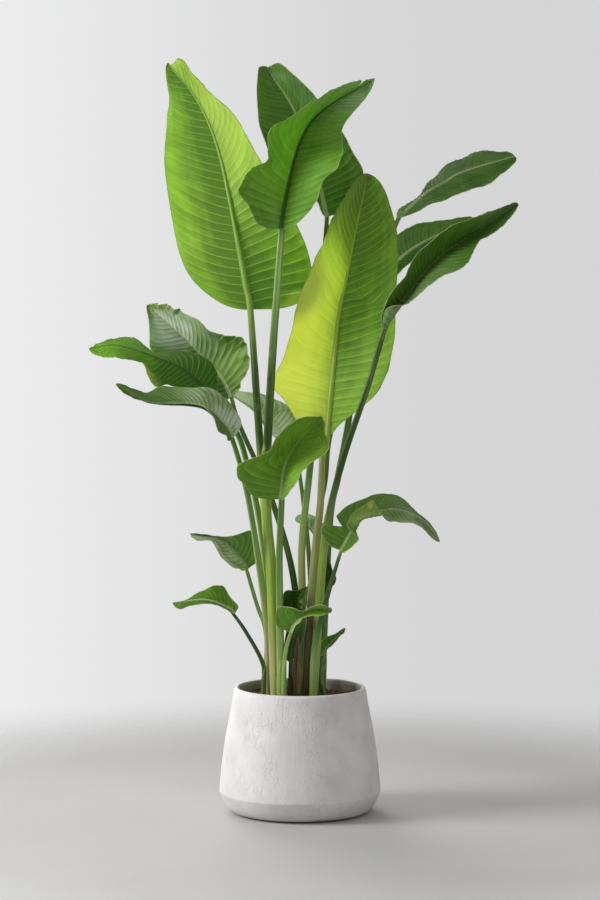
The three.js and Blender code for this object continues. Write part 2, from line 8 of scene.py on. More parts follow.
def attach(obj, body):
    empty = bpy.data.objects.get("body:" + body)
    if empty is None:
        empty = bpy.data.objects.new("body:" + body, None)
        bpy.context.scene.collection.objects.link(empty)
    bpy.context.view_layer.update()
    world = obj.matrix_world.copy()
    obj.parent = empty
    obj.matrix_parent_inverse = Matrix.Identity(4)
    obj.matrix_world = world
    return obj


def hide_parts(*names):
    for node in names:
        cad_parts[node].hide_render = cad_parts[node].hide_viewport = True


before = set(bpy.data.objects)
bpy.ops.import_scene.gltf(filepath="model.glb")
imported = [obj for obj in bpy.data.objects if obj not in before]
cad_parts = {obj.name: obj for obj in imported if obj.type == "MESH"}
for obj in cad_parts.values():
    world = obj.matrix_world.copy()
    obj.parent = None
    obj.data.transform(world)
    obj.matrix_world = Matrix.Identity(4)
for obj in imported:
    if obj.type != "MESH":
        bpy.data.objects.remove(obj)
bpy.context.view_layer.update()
scene = bpy.context.scene
mm = 0.001  # the plant's plans are in millimetres
print("frame loaded")


# Small helpers.
def freshSelection():
    if bpy.context.mode != "OBJECT":
        bpy.ops.object.mode_set(mode="OBJECT")
    bpy.ops.object.select_all(action="DESELECT")


def selectOnly(objects):
    freshSelection()
    for item in objects:
        item.select_set(True)
    bpy.context.view_layer.objects.active = objects[0]


def editAll(item):
    # opens one object for editing, with all of it selected
    selectOnly([item])
    bpy.ops.object.mode_set(mode="EDIT")
    bpy.ops.mesh.select_all(action="SELECT")


def joinAll(objects, name):
    selectOnly(objects)
    if len(objects) > 1:
        bpy.ops.object.join()
    joined = bpy.context.active_object
    joined.name = name
    joined.data.name = name
    return joined


def smoothStep(low, high, x):
    t = np.clip((np.asarray(x, float) - low) / (high - low), 0, 1)
    return t * t * (3 - 2 * t)


def unit(vectors):
    return vectors / np.linalg.norm(vectors, axis=-1, keepdims=True)


def blend(values, s):
    # smooth value through a list spread evenly from 0 to 1
    values = np.asarray(values, float)
    s = np.asarray(s, float)
    if len(values) == 1:
        return np.broadcast_to(values[0], s.shape + values.shape[1:]).copy()
    ends = np.concatenate(([2 * values[0] - values[1]], values, [2 * values[-1] - values[-2]]))
    place = np.clip(s * (len(values) - 1), 0, len(values) - 1.000001)
    i = place.astype(int)
    t = (place - i).reshape(s.shape + (1,) * (values.ndim - 1))
    a, b, c, d = (ends[i + k] for k in range(4))
    curved = (2 * a - 5 * b + 4 * c - d) * t**2
    return 0.5 * (2 * b + (c - a) * t + curved + (3 * b - a - 3 * c + d) * t**3)


def runCurve(points, s):
    # places and directions at shares of a smooth curve's length, and that length
    fine = np.linspace(0, 1, 1601)
    places = blend(points, fine)
    steps = np.linalg.norm(np.diff(places, axis=0), axis=1)
    lengths = np.concatenate(([0], np.cumsum(steps)))
    even = np.interp(np.asarray(s, float) * lengths[-1], lengths, fine)
    ahead = blend(points, np.clip(even + 0.001, 0, 1))
    behind = blend(points, np.clip(even - 0.001, 0, 1))
    return blend(points, even), unit(ahead - behind), lengths[-1]


def wobble(x, seed):
    # a soft random-looking wave between about -1 and 1
    x = np.asarray(x, float)
    waves = np.sin(x + seed) + 0.7 * np.sin(1.73 * x + 2.3 * seed + 1)
    return (waves + 0.5 * np.sin(3.11 * x + 3.9 * seed + 2)) / 1.9


# Shader helpers. Each adds to the node tree that is being made.
def addNode(kind, inputs=None, **settings):
    node = tree.nodes.new("ShaderNode" + kind)
    for key, value in settings.items():
        setattr(node, key, value)
    for key, value in (inputs or {}).items():
        if hasattr(value, "links"):
            tree.links.new(value, node.inputs[key])
        else:
            node.inputs[key].default_value = value
    return node


def calc(operation, *values, clamp=False):
    inputs = dict(enumerate(values))
    return addNode("Math", inputs, operation=operation, use_clamp=clamp).outputs[0]


def times(first, second, clamp=False):
    return calc("MULTIPLY", first, second, clamp=clamp)


def plus(first, second, clamp=False):
    return calc("ADD", first, second, clamp=clamp)


def minus(first, second):
    return calc("SUBTRACT", first, second)


def fromHalf(value):
    return calc("ABSOLUTE", minus(value, 0.5))


def ranged(value, low, high, toLow=0.0, toHigh=1.0):
    limits = {"Value": value, "From Min": low, "From Max": high, "To Min": toLow, "To Max": toHigh}
    return addNode("MapRange", limits, interpolation_type="SMOOTHSTEP").outputs["Result"]


def mixed(share, first, second, way="MIX"):
    first, second = (c if hasattr(c, "links") else (*c, 1) for c in (first, second))
    inputs = {0: share, 6: first, 7: second}
    return addNode("Mix", inputs, data_type="RGBA", blend_type=way).outputs[2]


def weighed(*terms):
    # a sum of values, each times its weight
    total = times(*terms[0])
    for term in terms[1:]:
        total = plus(total, times(*term))
    return total


def layered(colour, *layers):
    # tints laid over a colour one by one, each by its share
    for share, tint in layers:
        colour = mixed(share, colour, tint)
    return colour


def spots(vector, scale, detail=2.0, rough=0.5):
    inputs = {"Vector": vector, "Scale": scale, "Detail": detail, "Roughness": rough}
    return addNode("TexNoise", inputs).outputs["Fac"]


def stretchedSpots(parts, detail):
    # spots over three numbers, each with its own scale
    scaled = [times(value, scale) for value, scale in parts]
    vector = addNode("CombineXYZ", dict(enumerate(scaled))).outputs[0]
    return spots(vector, 1.0, detail)


def objectPlace():
    return addNode("TexCoord").outputs["Object"]


def readPart(name):
    # the three numbers that a leaf keeps at each point under this name
    read = addNode("Attribute", attribute_name=name)
    return addNode("SeparateXYZ", {"Vector": read.outputs["Vector"]}).outputs


def newMaterial(name):
    global tree
    material = bpy.data.materials.new(name)
    material.use_nodes = True
    tree = material.node_tree
    tree.nodes.clear()
    return material


def bumped(height, strength, distance):
    inputs = {"Height": height, "Strength": strength, "Distance": distance}
    return addNode("Bump", inputs).outputs[0]


def addBody(colour, rough, bump=None, shine=0.5):
    inputs = {"Base Color": colour, "Roughness": rough, "Specular IOR Level": shine}
    if bump:
        inputs["Normal"] = bump
    return addNode("BsdfPrincipled", inputs).outputs[0]


def blendShaders(share, first, second):
    return addNode("MixShader", {0: share, 1: first, 2: second}).outputs[0]


def finishMaterial(shader):
    addNode("OutputMaterial", {"Surface": shader})


# Side veins, shared by all blades: lines where the vein count passes a whole number, fine
# ones between, the thin margin, and a painted pleat shade that paints one side of each pleat lighter.
def buildVeinGroup():
    global tree
    tree = bpy.data.node_groups.new("sideVeins", "ShaderNodeTree")
    sockets = {"INPUT": ("Veins", "From Rib", "To Edge"),
               "OUTPUT": ("Line", "Fine", "Slope", "Margin", "Rib", "Height")}
    for way, names in sockets.items():
        for name in names:
            tree.interface.new_socket(name, in_out=way, socket_type="NodeSocketFloat")
    given = tree.nodes.new("NodeGroupInput").outputs
    told = tree.nodes.new("NodeGroupOutput").inputs
    phase = calc("FRACT", given["Veins"])
    near = times(fromHalf(phase), 2)
    inner = ranged(given["To Edge"], 0.0, 0.03, 0.35, 1)
    line = times(ranged(near, 0.80, 0.97), inner)
    # painted pleat shade: lightest just past each vein, deeper towards the next
    paintedPleatShade = times(minus(1, phase), ranged(phase, 0.0, 0.1))
    often = calc("FRACT", times(given["Veins"], 7))
    fine = ranged(times(fromHalf(often), 2), 0.45, 1)
    margin = ranged(given["To Edge"], 0.0007, 0.0022, 1, 0)
    rib = ranged(given["From Rib"], 0.8, 1.4, 1, 0)
    height = plus(line, times(fine, 0.3))
    made = {"Line": line, "Fine": fine, "Slope": paintedPleatShade, "Margin": margin, "Rib": rib, "Height": height}
    for name, value in made.items():
        tree.links.new(value, told[name])
    return tree


veinGroup = buildVeinGroup()

# Blade finishes: light and deep green, the light that comes through, vein and margin colours.
bladeFinishes = {
    # painted light: a brighter copy of the green for leaves that glow with light shining through them
    "sunlit": {
        "light": (0.44, 0.80, 0.045), "deep": (0.06, 0.22, 0.012), "glow": (0.52, 0.92, 0.04),
        "vein": (0.60, 0.84, 0.14), "margin": (0.24, 0.22, 0.05), "rib": (0.40, 0.58, 0.10),
        "pleatShadeShare": 0.14, "share": 0.48, "rough": 0.44,
    },
    "fresh": {
        "light": (0.30, 0.64, 0.045), "deep": (0.045, 0.19, 0.012), "glow": (0.34, 0.72, 0.04),
        # the fresh rib's dark green is painted shade in the rib's groove
        "vein": (0.44, 0.68, 0.14), "margin": (0.50, 0.60, 0.18), "rib": (0.06, 0.13, 0.02),
        "pleatShadeShare": 0.26, "share": 0.34, "rough": 0.42,
    },
    # painted light: a lighter copy of the fresh green for leaves that lie in shade, with a pale rib
    "spring": {
        "light": (0.42, 0.72, 0.06), "deep": (0.10, 0.28, 0.02), "glow": (0.40, 0.74, 0.05),
        "vein": (0.50, 0.72, 0.20), "margin": (0.58, 0.70, 0.28), "rib": (0.78, 0.90, 0.52),
        "pleatShadeShare": 0.2, "share": 0.34, "rough": 0.44,
    },
    "mature": {
        "light": (0.20, 0.42, 0.04), "deep": (0.045, 0.15, 0.013), "glow": (0.28, 0.52, 0.03),
        "vein": (0.36, 0.54, 0.17), "margin": (0.48, 0.58, 0.24), "rib": (0.56, 0.68, 0.36),
        "pleatShadeShare": 0.3, "share": 0.28, "rough": 0.40,
    },
    # painted shade: a darker copy of the green for leaves in shade
    "shade": {
        "light": (0.08, 0.20, 0.02), "deep": (0.022, 0.075, 0.008), "glow": (0.16, 0.34, 0.02),
        "vein": (0.13, 0.23, 0.05), "margin": (0.28, 0.36, 0.12), "rib": (0.16, 0.26, 0.06),
        "pleatShadeShare": 0.2, "share": 0.25, "rough": 0.42,
    },
    "dry": {
        "light": (0.30, 0.22, 0.13), "deep": (0.12, 0.075, 0.04), "glow": (0.35, 0.22, 0.10),
        "vein": (0.34, 0.26, 0.17), "margin": (0.10, 0.06, 0.03), "rib": (0.16, 0.10, 0.06),
        "pleatShadeShare": 0.3, "share": 0.2, "rough": 0.8,
    },
}

# Tints that all blades share. The pale grey-green one is painted sheen, the light's reflection on the waxy
# leaf; the gold ones also paint the glow of light shining through a leaf.
bladeTints = {
    "underside": 0.35 * np.array((0.13, 0.15, 0.09)), "paintedSheen": (0.69, 0.76, 0.62),
    "gold": (0.72, 0.80, 0.20), "goldLine": (0.84, 0.92, 0.36),
    "goldGlow": (0.86, 0.88, 0.20), "goldLineGlow": (1, 1, 0.42),
    "deepGlow": 0.35, "lineGlow": 1.25, "shine": 0.28,
}


def bladeMaterial(finishName, under):
    finish = bladeFinishes[finishName]
    material = newMaterial(finishName + ("Underside" if under else "Blade"))
    place = readPart("leafPlace")  # share along, share across, vein count
    reach = readPart("leafReach")  # rib widths from the rib, metres to the edge, leaf seed
    tone = readPart("leafTone")  # lighter or deeper with painted light and shade, yellow with painted glow, painted sheen
    veinInputs = {"Veins": place["Z"], "From Rib": reach["X"], "To Edge": reach["Y"]}
    veins = addNode("Group", veinInputs, node_tree=veinGroup).outputs
    coords = objectPlace()

    def leafSpots(along, alongScale, acrossScale, detail):
        # spots drawn out along or across the veins, different on each leaf
        parts = ((place[along], alongScale), (place["Y"], acrossScale), (reach["Z"], 1))
        return stretchedSpots(parts, detail)

    cloud = spots(coords, 9, 3)
    # lighter and deeper green at random, with the painted pleat shade laid over it
    share = weighed(
        (leafSpots("Z", 0.8, 1.6, 3), 0.55), (cloud, 0.3), (leafSpots("Z", 4.3, 2.2, 2), 0.3),
        (leafSpots("X", 2.5, 6, 2), 0.45), (veins["Slope"], finish["pleatShadeShare"]))
    share = plus(minus(share, 0.6), tone["X"], clamp=True)
    # painted sheen: pale grey-green where the light reflects off the waxy leaf, in broad patches and on the
    # lit side of each pleat, not on the veins
    paintedSheen = ranged(leafSpots("Z", 0.22, 1.3, 2), 0.3, 0.62, 0.0, 0.6)
    paintedSheen = weighed((paintedSheen, 1), (veins["Slope"], 0.38), (veins["Line"], -0.4))
    paintedSheen = times(paintedSheen, tone["Z"], clamp=True)
    # gold is partly the leaf's own yellow and partly a painted glow of the light shining through the leaf
    gold = times(tone["Y"], plus(times(share, 0.6), 0.3), clamp=True)
    goldLine = times(times(veins["Line"], gold), 0.5)
    ribShare = times(veins["Rib"], 0.8)
    light, deep = (np.array(finish[key]) + bladeTints["underside"] * under for key in ("light", "deep"))
    colour = layered(
        mixed(share, deep, light), (times(veins["Line"], 0.5), finish["vein"]),
        (times(veins["Fine"], 0.14), finish["vein"]), (paintedSheen, bladeTints["paintedSheen"]),
        (gold, bladeTints["gold"]), (goldLine, bladeTints["goldLine"]), (ribShare, finish["rib"]),
        (times(veins["Margin"], 0.8), finish["margin"]))
    deepGlow = [bladeTints["deepGlow"] * c for c in finish["glow"]]
    lineGlow = [min(1, bladeTints["lineGlow"] * c) for c in finish["glow"]]
    glow = layered(
        mixed(share, deepGlow, finish["glow"]), (times(veins["Line"], 0.35), lineGlow),
        (gold, bladeTints["goldGlow"]), (goldLine, bladeTints["goldLineGlow"]), (ribShare, deepGlow))
    rough = plus(times(cloud, 0.16), finish["rough"] + (0.04 if under else -0.08))
    height = plus(veins["Height"], times(spots(coords, 900, 2), 0.12))
    bump = bumped(height, 0.8, 0.0009)
    body = addBody(colour, rough, bump, bladeTints["shine"])
    through = addNode("BsdfTranslucent", {"Color": glow, "Normal": bump}).outputs[0]
    finishMaterial(blendShaders(finish["share"], body, through))
    return material


# Stalk tones, from the dry foot to the fresh neck.
stalkTones = {
    "pale": (0.27, 0.42, 0.12), "green": (0.14, 0.26, 0.055), "dark": (0.05, 0.11, 0.018),
    "yellow": (0.33, 0.47, 0.075), "cream": (0.44, 0.45, 0.17), "pink": (0.50, 0.42, 0.30),
    "brown": (0.17, 0.13, 0.08), "olive": (0.40, 0.42, 0.15), "ribGreen": (0.24, 0.40, 0.07),
    "ribYellow": (0.40, 0.56, 0.09), "straw": (0.30, 0.22, 0.13), "streak": (0.58, 0.62, 0.46),
    "blotch": (0.30, 0.27, 0.12), "paleStreak": (0.55, 0.60, 0.22),
}


def stalkMaterial():
    material = newMaterial("stalkSkin")
    around = readPart("stalkPlace")  # round the stalk (two numbers) and metres along
    tint = addNode("Attribute", attribute_name="stalkTint").outputs["Color"]
    streaks = stretchedSpots(((around["X"], 9), (around["Y"], 9), (around["Z"], 7)), 3)
    ribs = stretchedSpots(((around["X"], 22), (around["Y"], 22), (around["Z"], 4)), 2)
    blotches = spots(objectPlace(), 28, 3)
    colour = layered(
        mixed(ranged(streaks, 0.35, 0.7), tint, stalkTones["streak"], "MULTIPLY"),
        (ranged(blotches, 0.58, 0.75, 0, 0.4), stalkTones["blotch"]),
        (ranged(streaks, 0.3, 0.4, 0.4, 0), stalkTones["paleStreak"]))
    rough = ranged(streaks, 0.3, 0.7, 0.28, 0.42)
    bump = bumped(ribs, 0.6, 0.0006)
    finishMaterial(addBody(colour, rough, bump, shine=0.32))
    return material


# The leaves. Each has stalk points from the soil up, rib points from the blade's base to
# its tip, blade width, how fast the width grows and tapers, the lift of both halves and the
# way that it faces. Lists in pairs are for the left and the right half, from base to tip:
# lift in degrees, and edges (how wide beside the plain outline), light, painted sheen and gold in
# per cent. Light is the leaf's own lighter or deeper green together with painted light and
# shade: lighter where a leaf stands in the light, deeper where it lies in shade or in another
# leaf's painted shadow. Across is painted light and shade from the rib to the margin: painted
# shade beside the rib, lighter towards the margin. Painted sheen is the light's reflection on
# the waxy leaf, painted in pale grey-green. Gold is the leaf's own yellow, and on leaf_01 and
# leaf_04 also a painted glow of the light shining through the leaf. Marks at the margin start with the
# half that they are on, -1 left or 1 right. Tones give the stalk's colour by height.
front = (0, -1, 0)
usualLeaf = {  # what a plan leaves unsaid
    "finish": "mature", "underFront": False, "taper": (0.35, 0.6), "face": [front], "bow": 15,
    "lean": [(-0.2, 0.2)], "tipLean": (0, 0), "wave": (4, 2, 0), "pleat": 1,
    "edges": ([100], [100]), "nicks": [], "curls": [], "crumples": [], "sheath": (330, 1.12),
    "ribTone": "pale", "light": ([0], [0]), "across": ([0], [0]), "paintedSheen": ([0], [0]),
    "paintedSheenFade": 0, "gold": ([0], [0]), "yellowSpots": [],
}
leafPlans = [
    {"name": "leaf_01", "finish": "sunlit", "underFront": True, "radius": (11, 7), "width": 300,
     "taper": (0.3, 0.7),
     "stalk": [(-50, 40, 200), (-65, 40, 470), (-85, 30, 765), (-95, 30, 905)],
     "rib": [(-110, 30, 1120), (-175, 65, 1450), (-230, 85, 1585), (-295, 100, 1665)],
     "lift": ([5, 0, 0, 0, 0], [0, 10, 42, 50, 55]), "bow": 10, "lean": [(0.25, 0.05), (-0.2, 0.05)],
     "tipLean": (0, 0.45), "wave": (4, 3, 0),
     "edges": ([70, 87, 91, 91, 91, 95, 100, 100, 96, 85, 85],
               [120, 117, 113, 108, 103, 98, 93, 92, 90, 87, 83, 82, 81, 81, 80, 70, 60, 62, 75, 120, 30]),
     "nicks": [(1, 1, 0.045, 0.95)], "crumples": [(1, 0, 0.1, 2.5)],
     "tones": {200: "pink", 330: "yellow", 720: "yellow", 830: "dark", 1000: "dark", 1060: "green",
               1120: "ribGreen"},
     "ribTone": "ribGreen",
     # painted light and shade on leaf_01: painted shade near the rib and the base, and a painted glow of
     # light through the right half
     "light": ([-5, -5, 0, 0, 0, -40], [-35, -20, 5, 10, 10, 5]),
     "across": ([-60, -25, 5, 25], [-20, 0, 5, 10]),
     "gold": ([10, 25, 25, 15, 15, 10], [0, 10, 35, 65, 65, 40]), "yellowSpots": [(1, 0.04, 0.95, 0.05)]},
    {"name": "leaf_02", "finish": "fresh", "radius": (12, 7), "width": 235, "taper": (0.3, 0.85),
     "stalk": [(-50, -45, 200), (-60, -45, 460), (-65, -50, 570), (-75, -50, 705), (-65, -60, 950)],
     "rib": [(-40, -75, 1300), (-30, -80, 1370), (0, -65, 1490), (50, -30, 1560), (165, 70, 1630)],
     "lift": ([20, 45, 70, 85, 85], [50, 45, 38, 48, 55]), "lean": [(-0.1, 0.05), (0.1, 0.05)],
     "wave": (7, 2.5, 1),
     "edges": ([75, 72, 79, 103, 98, 92, 66, 83, 110, 93, 78, 68, 62, 75, 93, 115, 125, 100, 105, 100, 100],
               [50, 59, 69, 75, 75, 80, 102, 103, 103, 95, 88, 80, 76, 77, 79, 81, 83, 86, 88, 90, 90]),
     "nicks": [(-1, 0.845, 0.014, 0.5)], "crumples": [(-1, 0, 0.34, 4)], "sheath": (800, 1.2),
     "tones": {380: "cream", 450: "yellow", 770: "yellow", 830: "dark", 980: "dark", 1150: "pale"},
     "ribTone": "dark",
     "light": ([0, 25, 35, 30, 30, 20], [0, 5, 5, 10, 15, 20]), "across": ([5, 5, 0, -15], [-15, 0, 10, 15]),
     "paintedSheen": ([10, 0, 0, 10, 50, 30], [0, 0, 0, 10, 80, 110])},
    {"name": "leaf_03", "radius": (9.5, 4.8), "width": 215, "taper": (0.4, 0.7),
     "face": [front, front, (0, -0.7, 0.7)],
     "stalk": [(5, 25, 200), (5, 30, 470), (5, 40, 605), (25, 60, 795), (40, 80, 1050)],
     "rib": [(60, 100, 1325), (30, 125, 1450), (-15, 155, 1565), (-60, 200, 1635), (-75, 250, 1660)],
     "lift": ([20, 20, 25, 20, 40], [20, 20, 40, 55, 55]), "lean": [(-0.1, 0.05)], "wave": (5, 2.5, 0),
     "pleat": 1.5,
     "edges": ([20, 20, 60, 80, 85, 90, 94, 92, 85, 74, 100],
               [100, 100, 104, 88, 85, 80, 74, 72, 72, 76, 80]),
     "nicks": [(1, 0.965, 0.012, 0.5)],
     "tones": {430: "green", 500: "cream", 690: "pale", 760: "green", 1100: "dark"},
     "light": ([-5, -5, -5, -10, 0], [-20, -10, -10, -15, -5])},
    {"name": "leaf_04", "finish": "sunlit", "underFront": True, "radius": (11, 6.5), "width": 280,
     "taper": (0.45, 0.6),
     "stalk": [(10, -15, 200), (25, -15, 475), (35, -10, 600), (45, -10, 685), (50, 0, 800)],
     "rib": [(60, 0, 835), (85, 15, 1105), (100, 20, 1175), (115, 30, 1255), (150, 50, 1420)],
     "lift": ([0, 8, 45, 58, 65], [50, 38, 25, 25, 25]), "bow": 10, "lean": [(-0.15, 0.1)],
     "wave": (4, 2.5, 0.5),
     "edges": ([80, 84, 86, 94, 109, 97, 84, 80, 79, 85, 90, 90, 90, 88, 85, 92, 98, 100, 100, 100, 100],
               [20, 35, 59, 80, 97, 102, 105, 102, 100, 97, 94, 90, 89, 91, 93, 94, 96, 94, 92, 95, 100]),
     "sheath": (470, 1.15),
     "tones": {440: "brown", 480: "olive", 800: "olive", 835: "ribYellow"}, "ribTone": "ribYellow",
     # painted light and shade on leaf_04: a lit left half with a painted glow of light through it, a painted
     # shadow over the top and beside the rib
     "light": ([60, 65, 60, 60, -25, -35], [15, 5, -5, -15, -30, -30]),
     "across": ([-60, -15, 10, 5], [-10, -5, 5, 20]),
     "gold": ([100, 100, 100, 85, 50, 50], [30, 20, 15, 10, 25, 35])},
    {"name": "leaf_05", "radius": (9, 5), "width": 150, "taper": (0.8, 0.5), "face": [(0.1, -0.6, 1)],
     "stalk": [(20, 90, 200), (40, 90, 620), (55, 90, 735), (75, 110, 870), (180, 160, 1205)],
     "rib": [(220, 175, 1320), (280, 195, 1375), (325, 215, 1400), (370, 230, 1425), (490, 275, 1460)],
     "lift": ([-20, -20, -12, -8, 0], [0]), "bow": 10, "lean": [(-0.1, 0.2)], "wave": (5, 4, 0), "pleat": 2.2,
     "edges": ([160, 100, 30, 40, 80, 80, 87, 115, 105, 100, 100],
               [70, 75, 75, 85, 70, 86, 82, 87, 70, 60, 60]),
     "tones": {200: "green", 1320: "dark"},
     "light": ([-15, -15, -10, 0], [5, -10, -10, 0]), "paintedSheen": ([5, 15, 15, 10], [30, 10, 5, 5])},
    {"name": "leaf_06", "radius": (9.5, 5.5), "width": 180, "taper": (0.5, 0.55),
     "stalk": [(25, -35, 200), (45, -40, 500), (60, -45, 650), (95, -60, 795), (150, -75, 960)],
     "rib": [(185, -85, 1080), (215, -85, 1130), (305, -90, 1240), (415, -80, 1310), (475, -65, 1355)],
     "lift": ([60, 60, 60, 62, 65], [85, 85, 75, 75, 75]), "lean": [(-0.1, 0.2)],
     "edges": ([70, 80, 80, 60, 73, 75, 86, 76, 66, 50, 60],
               [90, 100, 95, 85, 75, 72, 78, 88, 100, 120, 140, 130, 105, 75, 56, 60, 65, 65, 65, 60, 60]),
     "curls": [(1, 0, 0.12, 0.35, 1, 150)], "sheath": (650, 1.15),
     "tones": {200: "pale", 330: "yellow", 620: "yellow", 680: "green", 760: "dark"}, "ribTone": "green",
     "light": ([-5, -10, -5, 0], [5, -10, -15, -5]), "paintedSheen": ([0, 0, 0, 25], [40, 10, 0, 0])},
    {"name": "leaf_07", "radius": (9, 5.5), "width": 150, "taper": (0.4, 0.5), "face": [(-0.1, -0.5, 1)],
     "stalk": [(45, 40, 200), (65, 40, 625), (85, 45, 745), (105, 45, 850), (130, 55, 1005)],
     "rib": [(165, 55, 1160), (210, 70, 1220), (270, 90, 1265), (390, 130, 1320)],
     "lift": ([0, 5, 9, 6, 0], [0]), "lean": [(-0.1, 0.2)],
     "edges": ([100, 100, 100, 100, 105, 100, 100, 95, 100, 100, 100],
               [40, 40, 40, 40, 45, 60, 80, 100, 100, 100, 100]),
     "tones": {200: "green", 1160: "dark"}, "ribTone": "green",
     "light": ([-5], [-15])},
    {"name": "leaf_08", "finish": "fresh", "radius": (9, 5), "width": 175, "taper": (0.5, 0.6),
     "face": [(0.1, -0.6, 0.8)],
     "stalk": [(-65, 10, 200), (-65, 10, 385), (-85, 0, 620), (-120, -20, 790), (-145, -30, 860)],
     "rib": [(-190, -55, 925), (-210, -65, 950), (-270, -70, 1000), (-390, -90, 1045), (-460, -100, 1040)],
     "lift": ([15, 8, 0, 15, 10], [10, 0, -30, -18, -10]), "bow": 5,
     "edges": ([40, 30, 25, 40, 60, 68, 73, 74, 75, 95, 95, 80, 50, 60, 73, 85, 90, 95, 100, 100, 100],
               [100, 95, 93, 95, 100, 100, 100, 97, 95, 76, 60, 95, 170, 160, 125, 95, 70, 55, 42, 50, 20]),
     "nicks": [(1, 0.965, 0.025, 0.5)],
     "tones": {560: "pale", 800: "green", 925: "dark"}, "ribTone": "dark",
     "light": ([-30, -70, -55, 10, 30, 25], [-60, -70, -35, 20, 30, 30]),
     "yellowSpots": [(-1, 0.52, 0.95, 0.12)]},
    {"name": "leaf_09", "radius": (9, 4.5), "width": 190, "taper": (0.3, 0.7),
     "stalk": [(-10, 50, 200), (-10, 65, 480), (-60, 90, 680), (-135, 115, 855)],
     "rib": [(-155, 120, 920), (-175, 125, 960), (-205, 135, 995), (-270, 145, 1060), (-345, 160, 1125)],
     "lift": ([20, 30, 40, 35, 25], [50, 35, 50, 50, 55]), "bow": 10, "wave": (8, 2, 0), "pleat": 1.1,
     "edges": ([60, 80, 100, 100, 100, 100, 100, 120, 95, 70, 60],
               [30, 50, 65, 90, 104, 110, 115, 105, 100, 95, 95, 100, 100, 90, 82, 85, 87, 95, 100, 90, 80]),
     "crumples": [(1, 0.72, 1, 6), (1, 0, 0.42, 5)],
     "tones": {200: "green", 480: "dark"},
     "light": ([-25, -25, -20, -5, 10], [-25, -10, 5, 5, 10]),
     "paintedSheen": ([20, 20, 60, 100, 70], [0, 20, 110, 150, 70]), "paintedSheenFade": 0.75,
     # the yellow spot at leaf_09's tip is a painted highlight on the crumpled margin
     "gold": ([0], [20, 25, 0, 0, 0, 40]), "yellowSpots": [(1, 0.9, 1, 0.1)]},
    {"name": "leaf_10", "radius": (9, 5), "width": 145, "taper": (0.55, 0.55), "face": [(0, -0.6, 0.8)],
     "stalk": [(-65, -25, 200), (-70, -25, 380), (-80, -35, 480), (-105, -75, 660), (-125, -115, 765)],
     "rib": [(-145, -150, 850), (-165, -165, 882), (-215, -185, 922), (-325, -215, 932), (-395, -230, 970)],
     "lift": ([10, 28, 38, 38, 35], [20, 0, -8, -17, -15]), "bow": 5, "wave": (5, 3, 0),
     "edges": ([90, 100, 100, 100, 50, 30, 30, 50, 50, 70, 80],
               [110, 120, 110, 108, 95, 118, 110, 73, 77, 50, 50]),
     "tones": {360: "pink", 430: "cream", 520: "pale", 850: "green"}, "ribTone": "dark",
     "light": ([-20, -15, 0, 10], [35, 30, 0, 10, 20]), "paintedSheen": ([10, 10, 15, 0], [180, 100, 20, 10, 0])},
    {"name": "leaf_11", "radius": (7, 4), "width": 125, "taper": (0.5, 0.6), "face": [(0, -0.7, 0.7)],
     "stalk": [(15, 60, 200), (25, 65, 420), (20, 70, 565), (0, 95, 740)],
     "rib": [(-20, 115, 825), (-70, 145, 865), (-95, 165, 885), (-180, 205, 935)],
     "lift": ([5, 15, 20, 25, 30], [0, 0, 0, 5, 5]), "bow": 5, "wave": (5, 3, 0), "pleat": 0.8,
     "edges": ([80, 70, 50, 40, 30, 20, 10, 10, 10, 20, 30],
               [100, 100, 100, 100, 100, 90, 73, 54, 45, 45, 50]),
     "tones": {200: "green"},
     "light": ([35], [35]), "paintedSheen": ([120], [120])},
    {"name": "leaf_12", "finish": "spring", "radius": (9.5, 6.5), "width": 215, "taper": (0.4, 0.6),
     "stalk": [(-40, -80, 200), (-45, -80, 485), (-45, -85, 595)],
     "rib": [(-40, -100, 710), (-30, -115, 790), (5, -120, 850), (50, -105, 885)],
     "lift": ([0, 22, 60, 68, 70], [90, 82, 65, 48, 45]), "bow": 10, "lean": [(-0.2, 0.2), (0.15, 0.2)],
     "wave": (5, 2.5, 0),
     "edges": ([100, 95, 90, 88, 90, 100, 105, 110, 97, 85, 80, 88, 95, 93, 90, 90, 88, 80, 70, 80, 80],
               [100, 100, 105, 115, 100, 86, 87, 98, 84, 53, 50]),
     "tones": {420: "pale", 600: "green"}, "ribTone": "green",
     "light": ([-15, -10, 0, 5, 10], [15, 15, 20, 10, 5]), "across": ([5, 5, 0, 0], [0, 0, 0, -10])},
    {"name": "leaf_13", "radius": (9, 3.5), "width": 110,
     "face": [(0, -0.9, 0.4), (0, -0.6, 0.8), (0, -0.4, 0.9), (0, -0.5, 0.8)],
     "stalk": [(30, -70, 200), (30, -70, 325), (35, -70, 395), (65, -80, 510)],
     "rib": [(90, -85, 595), (120, -95, 650), (145, -105, 675), (210, -120, 690), (270, -130, 665),
             (305, -135, 620)],
     "lift": ([15, 10, 5, 0, 0], [60, 30, 5, 10, 10]), "bow": 10, "wave": (4, 2.5, 0),
     "edges": ([120, 140, 100, 100, 110, 105, 93, 50, 30, 30, 40],
               [60, 70, 75, 75, 78, 85, 95, 110, 125, 125, 105, 90, 92, 100, 95, 90, 85, 78, 70, 70, 70]),
     "nicks": [(-1, 0.17, 0.035, 0.6)], "curls": [(1, 0.25, 0.45, 0.3, 0.4, 150)],
     "tones": {200: "yellow", 330: "pale", 400: "green", 450: "dark"},
     "light": ([0, -10, 0, 0, 0], [0, 0, 40, 40, 10, 10, 0, 0]),
     "paintedSheen": ([0, 0, 10, 40, 40], [0, 0, 30, 70, 50]), "gold": ([0], [0, 0, 15, 25, 20, 0, 0, 0, 0]),
     "yellowSpots": [(1, 0.42, 0.95, 0.04)]},
    {"name": "leaf_14", "radius": (6, 4), "width": 115,
